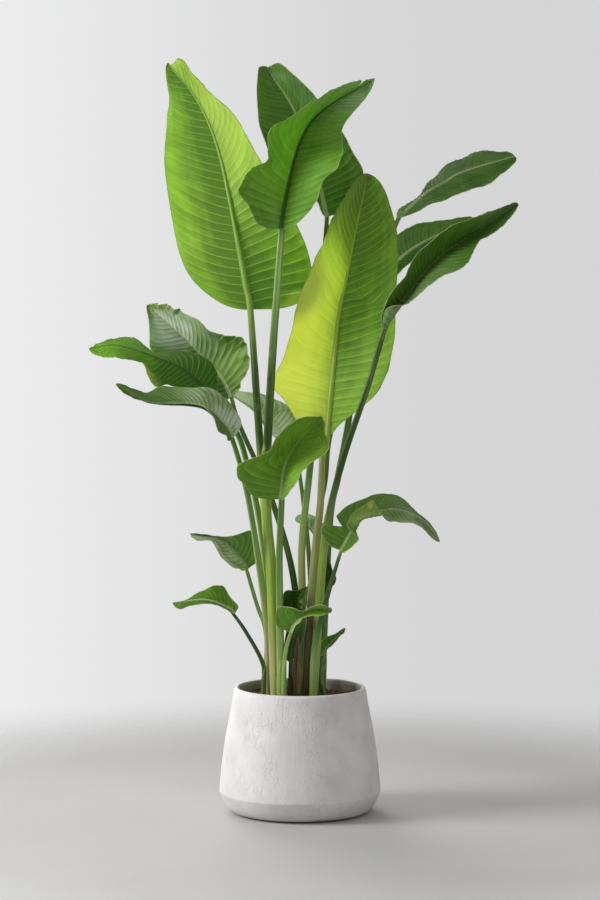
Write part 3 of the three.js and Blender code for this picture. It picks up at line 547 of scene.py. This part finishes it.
     "stalk": [(-80, 60, 200), (-75, 65, 355), (-80, 65, 410), (-95, 70, 450)],
     "rib": [(-120, 70, 535), (-130, 65, 555), (-180, 50, 605), (-245, 35, 620)],
     "lift": ([70, 60, 60, 70, 70], [10, 5, 25, 70, 70]), "lean": [(0.3, 0.2)], "wave": (4, 2.5, 0),
     "pleat": 1.1,
     "edges": ([90, 85, 77, 70, 73, 69, 53, 35, 55, 100, 100],
               [100, 100, 110, 103, 63, 30, 15, 10, 35, 30, 50]),
     "tones": {200: "green", 380: "pale", 530: "green"},
     "light": ([50, 50, 40, 30], [15, 10, 10, 10]), "paintedSheen": ([150, 180, 180, 100], [10, 15, 50, 50])},
    {"name": "leaf_15", "finish": "spring", "radius": (6, 3.5), "width": 80, "face": [(0, -0.8, 0.7)],
     "stalk": [(-85, -40, 200), (-80, -40, 305), (-85, -40, 345), (-120, -45, 410)],
     "rib": [(-145, -50, 450), (-160, -55, 465), (-210, -75, 485), (-280, -90, 480)],
     "lift": ([50, 30, 30, 30, 30], [0]), "bow": 10, "lean": [(0, 0.2)], "wave": (4, 2.5, 0),
     "edges": ([30, 30, 28, 20, 32, 50, 54, 60, 90, 200, 200],
               [80, 80, 150, 123, 98, 72, 60, 32, 10, 10, 10]),
     "tones": {200: "green", 330: "dark"}, "ribTone": "dark",
     "light": ([-20], [-15])},
    {"name": "leaf_16", "finish": "spring", "radius": (6, 4), "width": 110,
     "stalk": [(-35, -105, 200), (-35, -105, 330), (-30, -105, 380)],
     "rib": [(-20, -105, 415), (-10, -105, 435), (25, -110, 465), (70, -110, 465)],
     "lift": ([10, 10, 65, 75, 70], [80, 80, 75, 60, 60]), "lean": [(0, 0.2)], "wave": (4, 2.5, 0),
     "edges": ([100, 95, 105, 80, 65, 40, 50, 65, 100, 100, 100],
               [40, 20, 15, 25, 15, 30, 40, 49, 50, 43, 50]),
     "tones": {200: "pale"},
     "light": ([-30, -20, 0, 10], [20, 60, 80, 60]), "paintedSheen": ([0, 0, 20, 60], [0])},
    {"name": "leaf_17", "finish": "shade", "radius": (5, 3.5), "width": 62,
     "stalk": [(-25, -20, 200), (-20, -20, 345), (-20, -20, 395)],
     "rib": [(-20, -20, 440), (-15, -25, 485), (15, -40, 510)],
     "lift": ([30, 40, 50, 50, 50], [30, 40, 50, 50, 50]), "wave": (6, 3, 0),
     "edges": ([100, 100, 100, 100, 100, 100, 90, 40, 20, 20, 30], [100]),
     "tones": {200: "dark"}, "ribTone": "dark"},
    {"name": "leaf_18", "finish": "shade", "radius": (6, 3.5), "width": 52,
     "stalk": [(50, 10, 200), (45, 10, 360), (50, 15, 415)],
     "rib": [(55, 15, 480), (60, 20, 505), (65, 20, 560), (60, 15, 580)],
     "lift": ([60], [40]), "wave": (4, 3, 0),
     "edges": ([100], [20, 20, 20, 72, 86, 73, 45, 30, 10, 10, 50]),
     "tones": {200: "green", 480: "dark"}, "ribTone": "dark"},
    {"name": "leaf_19", "radius": (5, 3), "width": 42, "taper": (0.5, 0.7), "face": [(-0.3, -1, 0.2)],
     "stalk": [(60, 0, 200), (55, 0, 260), (45, 0, 305)],
     "rib": [(50, -5, 350), (60, -10, 370), (100, -20, 415)],
     "lift": ([60], [30]), "wave": (2, 2, 0),
     "edges": ([100, 100, 100, 110, 110, 105, 90, 60, 50, 50, 60],
               [30, 20, 10, 20, 35, 35, 35, 30, 40, 80, 100]),
     "tones": {200: "green"}, "ribTone": "green"},
    {"name": "leaf_20", "radius": (6, 3.5), "width": 60, "taper": (0.4, 0.7), "face": [(0, -1, 0.3)],
     "stalk": [(-5, 100, 200), (5, 100, 415), (30, 105, 530)],
     "rib": [(40, 110, 595), (30, 120, 615), (15, 125, 630), (-10, 140, 645)],
     "lift": ([30], [30]),
     "edges": ([60, 30, 15, 15, 15, 15, 20, 30, 40, 60, 80], [100]),
     "tones": {200: "green"},
     "paintedSheen": ([60], [60])},
    {"name": "leaf_21", "finish": "shade", "radius": (5, 3), "width": 44, "taper": (0.5, 0.7),
     "face": [(0, -1, 0.3)],
     "stalk": [(-15, -5, 200), (-10, -10, 340), (0, -35, 430)],
     "rib": [(0, -45, 445), (0, -55, 435), (-10, -60, 410), (-25, -60, 345)],
     "lift": ([30], [30]), "wave": (3, 2, 0),
     "tones": {200: "dark"}, "ribTone": "dark"},
    {"name": "dry_sheath_1", "finish": "dry", "radius": (3.5, 3), "width": 17, "taper": (0.3, 0.35),
     "stalk": [(-10, -75, 200), (-10, -75, 235), (-10, -75, 262)],
     "rib": [(-10, -75, 272), (-8, -74, 345), (-5, -77, 405)],
     "lift": ([40, 45, 50, 50, 45], [40, 45, 50, 50, 45]), "lean": [(0, 0.3)], "wave": (1, 2, 0),
     "tones": {200: "straw"}, "ribTone": "straw"},
    {"name": "dry_sheath_2", "finish": "dry", "radius": (3.5, 3), "width": 22, "taper": (0.3, 0.4),
     "stalk": [(-18, -50, 200), (-18, -50, 235), (-18, -50, 258)],
     "rib": [(-18, -50, 268), (-17, -49, 285), (-14, -53, 308)],
     "lift": ([40, 45, 50, 50, 45], [40, 45, 50, 50, 45]), "lean": [(0, 0.3)], "wave": (1, 2, 0),
     "tones": {200: "brown"}, "ribTone": "brown"},
]

# How finely every leaf is made, in metres where it is a size.
leafDetail = {
    "rowStep": 0.0022, "columns": 16, "crowding": 1.4, "thickness": 0.0009, "veinStep": 0.019,
    "sweep": 0.25, "pleat": 0.0009, "frill": 0.0012, "frillStep": 0.006, "swellStep": 0.05,
    "crumpleStep": 0.0045, "driftStep": 0.055, "leastWidth": 1.2, "stalkStep": 0.006,
    "stalkSides": 20, "weld": 0.00002, "smoothAngle": 50,
}


def addGrid(name, columns, rows):
    freshSelection()
    bpy.ops.mesh.primitive_grid_add(x_subdivisions=columns, y_subdivisions=rows, size=1)
    sheet = bpy.context.active_object
    sheet.name = name
    flat = np.zeros(len(sheet.data.vertices) * 3)
    sheet.data.vertices.foreach_get("co", flat)
    flat = flat.reshape(-1, 3)
    return sheet, np.rint((flat[:, 0] + 0.5) * columns), np.rint((flat[:, 1] + 0.5) * rows)


def placePoints(sheet, points):
    sheet.data.vertices.foreach_set("co", np.ascontiguousarray(points, dtype=np.float32).ravel())
    sheet.data.update()


def keepNumbers(sheet, name, values):
    # three numbers for each point, or four for a colour
    kind, key = ("FLOAT_VECTOR", "vector") if len(values) == 3 else ("FLOAT_COLOR", "color")
    kept = sheet.data.attributes.new(name, kind, "POINT")
    kept.data.foreach_set(key, np.stack(values, axis=1).astype(np.float32).ravel())


def ribFrame(plan, s):
    point, tangent, length = runCurve(plan["rib"], s)
    face = blend(plan["face"], s)
    normal = unit(face - tangent * np.sum(face * tangent, axis=-1, keepdims=True))
    return point, tangent, normal, np.cross(tangent, normal), length


def ribRadius(plan, s):
    return 1.1 + plan["radius"][1] * 0.85 * (1 - s) ** 0.9


def growBlade(plan, seed):
    length = runCurve(plan["rib"], [0, 1])[2] * mm
    rows = int(np.clip(length / leafDetail["rowStep"], 40, 270))
    half = leafDetail["columns"]
    sheet, column, row = addGrid(plan["name"] + "_blade", half * 2, rows)
    even = row / rows
    s = 0.5 * even + 0.25 * (1 - np.cos(np.pi * even))
    share = column / half - 1
    v = np.abs(share) ** leafDetail["crowding"]
    side = np.where(share < 0, -1.0, 1.0)
    onLeft = side < 0

    def halves(key, at=s, scale=100):
        return np.where(onLeft, *(blend(np.array(values) / scale, at) for values in plan[key]))

    # Outline.
    point, tangent, normal, aside, _ = ribFrame(plan, s)
    grow, shrink = plan["taper"]
    peak = grow / (grow + shrink)
    top = peak**grow * (1 - peak) ** shrink
    plainWidth = plan["width"] / 2 * s**grow * (1 - s) ** shrink / top
    width = plainWidth * halves("edges")
    for nickSide, at, wide, deep in plan["nicks"]:
        cut = np.clip(1 - np.abs(s - at) / wide, 0, 1) * deep
        width = width * np.where(side == nickSide, 1 - cut, 1)
    width = np.maximum(width, leafDetail["leastWidth"])

    # Section across each half: lifted from the rib, bowed, and rolled over at some margins.
    lift = np.radians(halves("lift", scale=1))
    bow = math.radians(plan["bow"])
    angle = lift - bow * v
    out = (np.sin(lift) - np.sin(angle)) / bow
    up = (np.cos(angle) - np.cos(lift)) / bow
    for curlSide, low, high, start, tight, turn in plan["curls"]:
        curled = smoothStep(low - 0.05, low, s) * (1 - smoothStep(high - 0.05, high + 0.1, s))
        curled = curled * (side == curlSide)
        bend = np.maximum(math.radians(turn) * curled, 1e-4)
        first = lift - bow * start
        past = (v - start) / (1 - start)
        turned = first + bend * np.clip(past / tight, 0, 1)
        reach = (1 - start) * tight / bend
        flat = (1 - start) * np.maximum(past - tight, 0)
        rollOut = (np.sin(lift) - np.sin(first)) / bow + reach * (np.sin(turned) - np.sin(first))
        rollUp = (np.cos(first) - np.cos(lift)) / bow + reach * (np.cos(first) - np.cos(turned))
        rolled = (v > start) & (curled > 0)
        out = np.where(rolled, rollOut + flat * np.cos(turned), out)
        up = np.where(rolled, rollUp + flat * np.sin(turned), up)
        angle = np.where(rolled, turned, angle)
    leans = [first + (last - first) * s for first, last in (plan["lean"] * 2)[:2]]
    lean = np.where(onLeft, *leans) + np.where(onLeft, *plan["tipLean"]) * smoothStep(0.85, 1, s)

    # Waves, pleats between the veins, frilled and crumpled margins.
    height, count, start = plan["wave"]
    rippleAt = 2 * np.pi * count * s + start + np.where(onLeft, 0, 1.7)
    ripple = height * v * v * width * np.sin(rippleAt) / (plan["width"] / 2)
    run = s * length
    sweep = leafDetail["sweep"] * (0.5 + 1.8 * s + 1.4 * s**3)
    step = leafDetail["veinStep"] * min(1.0, max(0.5, plan["width"] / 300))
    veins = (run - sweep * plainWidth * v * mm * (1 + 0.35 * v * v)) / step
    veins = veins + 0.3 * wobble(run / leafDetail["driftStep"], seed)
    big = min(1.0, plan["width"] / 180)  # small leaves have finer relief
    pleat = leafDetail["pleat"] / mm * big * plan["pleat"] * np.clip(4 * v * (1.05 - v), 0, 1)
    pleat = pleat * np.cos(2 * np.pi * veins)
    frill = leafDetail["frill"] / mm * big * smoothStep(0.75, 1, v)
    frill = frill * wobble(run / leafDetail["frillStep"], seed + 2 * side)
    swell = 2.2 * big * v * wobble(run / leafDetail["swellStep"] + 1.5 * v, seed + 5 * side)
    crumple = np.zeros_like(v)
    for crumpleSide, low, high, strength in plan["crumples"]:
        where = smoothStep(low - 0.03, low + 0.03, s) * (1 - smoothStep(high - 0.03, high + 0.03, s))
        where = where * smoothStep(0.55, 0.95, v) * (side == crumpleSide)
        crumple = crumple + strength * where * wobble(run / leafDetail["crumpleStep"], seed + 7)
    facing = normal * np.cos(angle)[:, None] - aside * (side * np.sin(angle))[:, None]
    facing = np.where((v == 0)[:, None], normal, facing)
    point = point + aside * (side * width * out)[:, None] + normal * (width * up)[:, None]
    point = point + tangent * (width * lean * v * v)[:, None]
    point = point + facing * (ripple + pleat + frill + swell + crumple)[:, None]
    placePoints(sheet, point * mm)

    # Numbers that the materials read.
    paintedSheen = halves("paintedSheen") * (1 - plan["paintedSheenFade"] * smoothStep(0.25, 0.9, v))
    yellow = halves("gold")
    for spotSide, at, outward, size in plan["yellowSpots"]:
        away = np.hypot((s - at) / size, (v - outward) / 0.35)
        yellow = np.maximum(yellow, (1 - smoothStep(0.4, 1, away)) * (side == spotSide))
    ribShare = width * v / ribRadius(plan, s)
    toEdge = np.minimum(width * (1 - v), np.minimum(s, 1 - s) * 1000 * length + 1) * mm
    keepNumbers(sheet, "leafPlace", (s, v * side, veins))
    keepNumbers(sheet, "leafReach", (ribShare, toEdge, np.full_like(v, seed)))
    keepNumbers(sheet, "leafTone", (halves("light") + halves("across", v), yellow, paintedSheen))
    thick = sheet.modifiers.new("thickness", "SOLIDIFY")
    thick.thickness = leafDetail["thickness"]
    thick.offset = 0
    thick.material_offset = 1
    upper, lower = materials[plan["finish"]]
    for material in (lower, upper) if plan["underFront"] else (upper, lower):
        sheet.data.materials.append(material)
    selectOnly([sheet])
    bpy.ops.object.modifier_apply(modifier=thick.name)
    return sheet


def growStalk(plan, seed):
    foot, neck = plan["radius"]
    turned = -1 if plan["underFront"] else 1
    under = np.array([0, 0.08, 0.18, 0.32, 0.46, 0.6, 0.74, 0.86, 0.97])
    ribPoint, _, ribNormal, _, _ = ribFrame(plan, under)
    sink = (ribRadius(plan, under) * (0.85 if turned > 0 else 0.45)) * turned
    path = np.concatenate((np.array(plan["stalk"], float), ribPoint - ribNormal * sink[:, None]))
    total = runCurve(path, [0, 1])[2]
    blade = runCurve(plan["rib"], [0, 1])[2] * 0.97
    neckAt = 1 - blade / total
    rings = int(total * mm / leafDetail["stalkStep"])
    sides = leafDetail["stalkSides"]
    rod, column, row = addGrid(plan["name"] + "_stalk", sides, rings)
    along = row / rings
    theta = column / sides * 2 * np.pi
    point, tangent, _ = runCurve(path, along)
    s = np.clip((along - neckAt) / (1 - neckAt), 0, 1)
    face = blend(plan["face"], s)
    normal = unit(face - tangent * np.sum(face * tangent, axis=-1, keepdims=True))
    aside = np.cross(tangent, normal)

    # Thins upwards, with a lapped sheath at the foot and a groove on the upper side.
    below = np.clip(1 - along / neckAt, 0, 1)
    radius = neck + (foot - neck) * below**0.8
    radius = np.where(along > neckAt, np.minimum(ribRadius(plan, s), neck), radius)
    heights = point[:, 2]
    sheathTop, sheathGain = plan["sheath"]
    lip = sheathTop + 22 * np.cos(theta - 0.6 + seed)
    inSheath = 1 - smoothStep(lip - 5, lip + 3, heights)
    swollen = inSheath * (0.6 + 0.4 * smoothStep(sheathTop - 220, sheathTop, heights))
    radius = radius * (1 + (sheathGain - 1) * swollen)
    opening = np.arccos(np.clip(turned * np.cos(theta), -1, 1))
    grown = smoothStep(0.05, 0.5, along)
    groove = 0.32 * np.exp(-((opening / 0.42) ** 2)) * grown * (1 - inSheath)
    shoulder = 0.10 * np.exp(-(((opening - 0.85) / 0.3) ** 2)) * grown
    fade = 1 - smoothStep(0, 0.25, s)
    radius = radius * (1 + (shoulder - groove) * (0.25 + 0.75 * fade))
    radius = radius * (1 + 0.03 * wobble(heights / 40 + 2 * np.sin(theta), seed))
    ring = normal * np.cos(theta)[:, None] + aside * np.sin(theta)[:, None]
    placePoints(rod, (point + ring * radius[:, None]) * mm)

    # Colours by height, a pale rim on the sheath and the rib's own tone.
    tones = np.array([stalkTones[tone] for tone in plan["tones"].values()])
    level = heights + 12 * np.sin(3 * theta + seed)
    tint = np.stack([np.interp(level, list(plan["tones"]), tones[:, k]) for k in range(3)], axis=1)
    toRib = smoothStep(neckAt - 0.03, neckAt + 0.02, along)[:, None]
    tint = tint * (1 - toRib) + np.array(stalkTones[plan["ribTone"]]) * toRib
    rim = np.exp(-(((heights - lip) / 3.5) ** 2))[:, None]
    tint = tint * (1 - 0.7 * rim) + np.array(stalkTones["cream"]) * 0.7 * rim
    keepNumbers(rod, "stalkTint", (*tint.T, np.ones(len(tint))))
    keepNumbers(rod, "stalkPlace", (np.cos(theta), np.sin(theta), along * total * mm))
    rod.data.materials.append(materials["stalk"])
    editAll(rod)
    bpy.ops.mesh.remove_doubles(threshold=leafDetail["weld"])
    bpy.ops.mesh.fill_holes(sides=0)
    bpy.ops.object.mode_set(mode="OBJECT")
    return rod


materials = {name: (bladeMaterial(name, False), bladeMaterial(name, True)) for name in bladeFinishes}
materials["stalk"] = stalkMaterial()

for order, ownPlan in enumerate(leafPlans):
    plan = {**usualLeaf, **ownPlan}
    seed = 1.7 * order
    leaf = joinAll([growBlade(plan, seed), growStalk(plan, seed)], plan["name"] + "_grown")
    bpy.ops.object.shade_smooth_by_angle(angle=math.radians(leafDetail["smoothAngle"]))
    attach(leaf, "root")
    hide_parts(plan["name"])
print("leaves grown")

# The pot: turned from its underside up, over the lip and down inside.
potPlan = {
    "sides": 72, "levels": 1,
    "outside": [
        (0.161, 0.008), (0.175, 0.034), (0.1797, 0.0457), (0.1803, 0.0474), (0.1802, 0.0492),
        (0.178, 0.080), (0.174, 0.120), (0.168, 0.161), (0.160, 0.205), (0.151, 0.250),
        (0.148, 0.272), (0.146, 0.279), (0.141, 0.282),
    ],
    "inside": [
        (0.136, 0.279), (0.134, 0.272), (0.138, 0.245), (0.146, 0.205), (0.154, 0.161),
        (0.161, 0.110), (0.164, 0.060), (0.154, 0.032), (0.148, 0.015),
    ],
    "foot": 0.154, "uneven": 0.0005, "smoothAngle": 40,
    "shadow": (0.60, 0.588, 0.585), "light": (0.687, 0.68, 0.68), "speck": (0.44, 0.43, 0.42),
    "pit": (0.38, 0.37, 0.36), "paintedFootShade": (0.48, 0.47, 0.46), "insideBrown": (0.17, 0.145, 0.10),
}


def turnUp(name, foot, footZ, profile, sides):
    # a round solid drawn up ring by ring from its flat foot, ending in a flat face
    freshSelection()
    bpy.ops.mesh.primitive_circle_add(vertices=sides, radius=foot, fill_type="NGON", location=(0, 0, footZ))
    made = bpy.context.active_object
    made.name = name
    editAll(made)
    radius, height = foot, footZ
    for nextRadius, nextHeight in profile:
        bpy.ops.mesh.extrude_region_move(TRANSFORM_OT_translate={"value": (0, 0, nextHeight - height)})
        k = nextRadius / radius
        bpy.ops.transform.resize(value=(k, k, 1), center_override=(0, 0, nextHeight))
        radius, height = nextRadius, nextHeight
    bpy.ops.object.mode_set(mode="OBJECT")
    bpy.ops.object.transform_apply(location=True, rotation=True, scale=True)
    return made


def faceOutwards(made):
    editAll(made)
    bpy.ops.mesh.normals_make_consistent(inside=False)
    bpy.ops.object.mode_set(mode="OBJECT")


def potMaterial():
    material = newMaterial("castConcrete")
    coords = objectPlace()
    place = addNode("SeparateXYZ", {"Vector": coords}).outputs
    flat = addNode("CombineXYZ", {"X": place["X"], "Y": place["Y"]}).outputs[0]
    fromAxis = addNode("VectorMath", {0: flat}, operation="LENGTH").outputs["Value"]
    cloud = spots(coords, 14, 4)
    speck = spots(coords, 160, 3)
    smear = addNode("Mapping", {"Vector": coords, "Scale": (34, 34, 12)}).outputs[0]
    trowel = spots(smear, 1.0, 5, 0.6)
    ridges = ranged(fromHalf(spots(smear, 1.9, 3, 0.55)), 0.0, 0.035, 1, 0)
    cells = addNode("TexVoronoi", {"Vector": coords, "Scale": 95.0}).outputs["Distance"]
    patchy = spots(coords, 17, 2)
    # pits: small hollows, which take a little of a darker grey below, painted shade in the pits
    pits = times(ranged(cells, 0.08, 0.26, 1, 0), ranged(patchy, 0.5, 0.6))
    # darker brown inside the lip, on the inner wall above the soil
    insideBrown = plus(fromAxis, times(cloud, 0.004))
    insideBrown = ranged(insideBrown, 0.1375, 0.1425, 0.75, 0)
    insideBrown = times(insideBrown, ranged(place["Z"], 0.1, 0.2))
    # the foot turns greyer towards the floor: painted shade under the bevel
    colour = layered(
        mixed(ranged(cloud, 0.3, 0.7), potPlan["shadow"], potPlan["light"]),
        (ranged(speck, 0.6, 0.75, 0, 0.3), potPlan["speck"]), (times(pits, 0.10), potPlan["pit"]),
        (ranged(place["Z"], 0.0, 0.05, 0.3, 0), potPlan["paintedFootShade"]), (insideBrown, potPlan["insideBrown"]))
    lumps = times(ridges, ranged(patchy, 0.45, 0.6))
    height = weighed((trowel, 1.1), (pits, -0.45), (speck, 0.2), (lumps, 0.4))
    rough = ranged(cloud, 0.3, 0.7, 0.74, 0.88)
    finishMaterial(addBody(colour, rough, bumped(height, 0.75, 0.0024)))
    return material


pot = turnUp("pot_turned", potPlan["foot"], 0, potPlan["outside"] + potPlan["inside"], potPlan["sides"])
faceOutwards(pot)
rounded = pot.modifiers.new("rounded", "SUBSURF")
rounded.levels = potPlan["levels"]
rounded.render_levels = potPlan["levels"]
bpy.ops.object.modifier_apply(modifier=rounded.name)
for vertex in pot.data.vertices:  # hand-cast walls aren't quite true
    if vertex.co.z > 0.004:
        away = Vector((vertex.co.x, vertex.co.y, 0))
        if away.length > 0.1:
            vertex.co += away.normalized() * potPlan["uneven"] * noise.noise(vertex.co * 14)
bpy.ops.object.shade_smooth_by_angle(angle=math.radians(potPlan["smoothAngle"]))
pot.data.materials.append(potMaterial())
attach(pot, "root")
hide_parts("pot")
print("pot turned")

# The soil: a filling with a lumpy top, husk chips and fibres.
soilPlan = {
    "sides": 160, "level": 0.260, "edge": 0.1355, "rings": 46,
    "foot": (0.14765, 0.01535), "chips": 420, "fibres": 150,
    "side": [(0.15365, 0.032), (0.16365, 0.060), (0.16065, 0.110), (0.15365, 0.161),
             (0.14565, 0.205), (0.13765, 0.245)],
    "damp": ((0.045, 0.025, 0.014), (0.16, 0.095, 0.055)),
    "husk": ((0.10, 0.045, 0.022), (0.30, 0.17, 0.09)),
    "coir": ((0.22, 0.13, 0.07), (0.45, 0.30, 0.18)),
}


def soilHeight(x, y):
    mounds = 3 * math.sin(x * 50 + 1) * math.cos(y * 60)
    lumps = 2 * math.sin(x * 130 - y * 110)
    rim = 5 * (math.hypot(x, y) / 0.148) ** 4
    return soilPlan["level"] + (mounds + lumps - rim) * mm


def soilMaterial(name, dark, light):
    material = newMaterial(name)
    coords = objectPlace()
    crumbs = spots(coords, 170, 6, 0.7)
    patches = spots(coords, 30, 3)
    colour = mixed(ranged(crumbs, 0.35, 0.7), dark, light)
    colour = mixed(ranged(patches, 0.4, 0.65, 0, 0.5), colour, [0.5 * c for c in dark])
    rough = ranged(patches, 0.3, 0.7, 0.8, 0.95)
    finishMaterial(addBody(colour, rough, bumped(crumbs, 0.9, 0.004)))
    return material


shares = np.linspace(1, 0.012, soilPlan["rings"])
topRings = [(soilPlan["edge"] * share, soilPlan["level"]) for share in shares]
soil = turnUp("soil_filling", *soilPlan["foot"], soilPlan["side"] + topRings, soilPlan["sides"])
faceOutwards(soil)
for vertex in soil.data.vertices:
    if vertex.co.z > soilPlan["level"] - 0.001:
        crumb = noise.noise(vertex.co * 90) * 0.0022 + noise.noise(vertex.co * 260) * 0.0016
        inner = 1 if math.hypot(vertex.co.x, vertex.co.y) < soilPlan["edge"] * 0.985 else 0
        vertex.co.z = soilHeight(vertex.co.x, vertex.co.y) + crumb * inner
bpy.ops.object.shade_smooth()
soil.data.materials.append(soilMaterial("damp_mix", *soilPlan["damp"]))


def modelChip():
    # one husk chip: a flat block with a tapered, lifted end
    freshSelection()
    bpy.ops.mesh.primitive_cube_add(size=1)
    chip = bpy.context.active_object
    editAll(chip)
    bpy.ops.mesh.subdivide(number_cuts=1)
    bpy.ops.mesh.select_all(action="SELECT")
    bpy.ops.transform.resize(value=(0.010, 0.0045, 0.0022))
    bpy.ops.object.mode_set(mode="OBJECT")
    for vertex in chip.data.vertices:
        vertex.co.y *= 1 - 45 * abs(vertex.co.x)
        vertex.co.z += 0.0012 * noise.noise(vertex.co * 350) + 18 * vertex.co.x**2
    return chip


def modelFibre():
    # one strand of coir: a thin bent rod
    freshSelection()
    bpy.ops.mesh.primitive_cylinder_add(vertices=4, radius=0.00035, depth=0.022)
    fibre = bpy.context.active_object
    editAll(fibre)
    bpy.ops.transform.rotate(value=math.pi / 2, orient_axis="Y", center_override=(0, 0, 0))
    bpy.ops.mesh.bisect(plane_co=(0.004, 0, 0), plane_no=(1, 0, 0))
    bpy.ops.mesh.select_all(action="SELECT")
    bpy.ops.mesh.bisect(plane_co=(-0.004, 0, 0), plane_no=(1, 0, 0))
    bpy.ops.object.mode_set(mode="OBJECT")
    for vertex in fibre.data.vertices:
        bend = (vertex.co.x / 0.011) ** 2
        vertex.co.y += 0.003 * bend
        vertex.co.z += 0.0012 * bend
    return fibre


def strewOver(source, count, material, draw, sizes):
    # copies laid on the soil at random, each with its own mesh
    source.data.materials.append(material)
    strewn = []
    for _ in range(count):
        radius = soilPlan["edge"] * 0.95 * math.sqrt(draw.random())
        turn = draw.uniform(0, 2 * math.pi)
        x, y = radius * math.cos(turn), radius * math.sin(turn)
        copy = source.data.copy()
        size = draw.uniform(*sizes)
        lay = Matrix.Translation((x, y, soilHeight(x, y) + 0.0012))
        lay = lay @ Matrix.Rotation(draw.uniform(0, 2 * math.pi), 4, "Z")
        lay = lay @ Matrix.Rotation(draw.uniform(-0.45, 0.45), 4, "Y")
        lay = lay @ Matrix.Rotation(draw.uniform(-0.5, 0.5), 4, "X")
        copy.transform(lay @ Matrix.Scale(size, 4))
        piece = bpy.data.objects.new("strewn", copy)
        scene.collection.objects.link(piece)
        strewn.append(piece)
    bpy.data.objects.remove(source)
    return strewn


draw = random.Random(7)
chipBrown = soilMaterial("husk_chip", *soilPlan["husk"])
fibreTan = soilMaterial("coir_fibre", *soilPlan["coir"])
strewn = strewOver(modelChip(), soilPlan["chips"], chipBrown, draw, (0.6, 1.5))
strewn += strewOver(modelFibre(), soilPlan["fibres"], fibreTan, draw, (0.6, 1.3))
soil = joinAll([soil] + strewn, "soil_filling")
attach(soil, "root")
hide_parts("soil")
print("soil laid")

# Floor, lights and camera.
stagePlan = {
    "floorRadius": 4.0, "fadeFrom": 0.75, "fadeTo": 1.7,
    "floor": (0.46, 0.46, 0.46), "back": 0.72, "fill": 0.46,
    "cameraHeight": 1.42, "cameraBack": 7.5, "pitch": 4.6508, "lens": 135.785,
}


def floorMaterial():
    material = newMaterial("pale_floor")
    coords = objectPlace()
    away = addNode("VectorMath", {0: coords}, operation="LENGTH").outputs["Value"]
    fade = ranged(away, stagePlan["fadeFrom"], stagePlan["fadeTo"])
    cloud = spots(coords, 2.2, 4)
    darker = [0.94 * c for c in stagePlan["floor"]]
    colour = mixed(ranged(cloud, 0.3, 0.7), darker, stagePlan["floor"])
    rough = ranged(cloud, 0.3, 0.7, 0.7, 0.8)
    clear = addNode("BsdfTransparent").outputs[0]
    finishMaterial(blendShaders(fade, addBody(colour, rough), clear))
    return material


freshSelection()
bpy.ops.mesh.primitive_circle_add(vertices=96, radius=stagePlan["floorRadius"], fill_type="NGON")
floor = bpy.context.active_object
floor.name = "floor"
floor.data.materials.append(floorMaterial())

world = bpy.data.worlds.new("paleStudio")
scene.world = world
world.use_nodes = True
tree = world.node_tree
tree.nodes.clear()
seen = addNode("LightPath").outputs["Is Camera Ray"]
fill = {"Color": (1, 0.98, 0.965, 1), "Strength": stagePlan["fill"]}
fillLight = addNode("Background", fill).outputs[0]
aimed = addNode("TexCoord").outputs["Generated"]
sideways = addNode("SeparateXYZ", {0: aimed}).outputs["X"]
wallLight = ranged(sideways, -0.14, 0.06, stagePlan["back"] * 1.22, stagePlan["back"] * 0.92)
backdrop = addNode("Background", {"Color": (1, 1, 1.01, 1), "Strength": wallLight}).outputs[0]
addNode("OutputWorld", {"Surface": blendShaders(seen, fillLight, backdrop)})


def addLight(name, place, target, size, power, colour, spread=180, shines=True):
    lamp = bpy.data.lights.new(name, "AREA")
    lamp.shape = "DISK"
    lamp.size = size
    lamp.energy = power
    lamp.spread = math.radians(spread)
    lamp.color = colour
    holder = bpy.data.objects.new(name, lamp)
    scene.collection.objects.link(holder)
    holder.location = place
    holder.visible_glossy = shines
    holder.rotation_euler = (Vector(target) - Vector(place)).to_track_quat("-Z", "Y").to_euler()


addLight("window", (-3.2, -0.75, 2.1), (0, 0, 0.9), 1.9, 126, (1, 0.995, 0.98))
addLight("behind", (-1.1, 3.0, 1.9), (0, 0, 1.6), 2.6, 40, (1, 0.98, 0.92), spread=70, shines=False)
addLight("soft_front", (1.2, -4.5, 2.6), (0, 0, 0.8), 2.5, 20, (1, 0.99, 0.98))

lens = bpy.data.cameras.new("camera")
lens.lens = stagePlan["lens"]
lens.sensor_width = 36
camera = bpy.data.objects.new("camera", lens)
scene.collection.objects.link(camera)
camera.location = (0, -stagePlan["cameraBack"], stagePlan["cameraHeight"])
camera.rotation_euler = (math.radians(90 - stagePlan["pitch"]), 0, 0)
scene.camera = camera
scene.view_settings.view_transform = "Standard"
print("stage set")
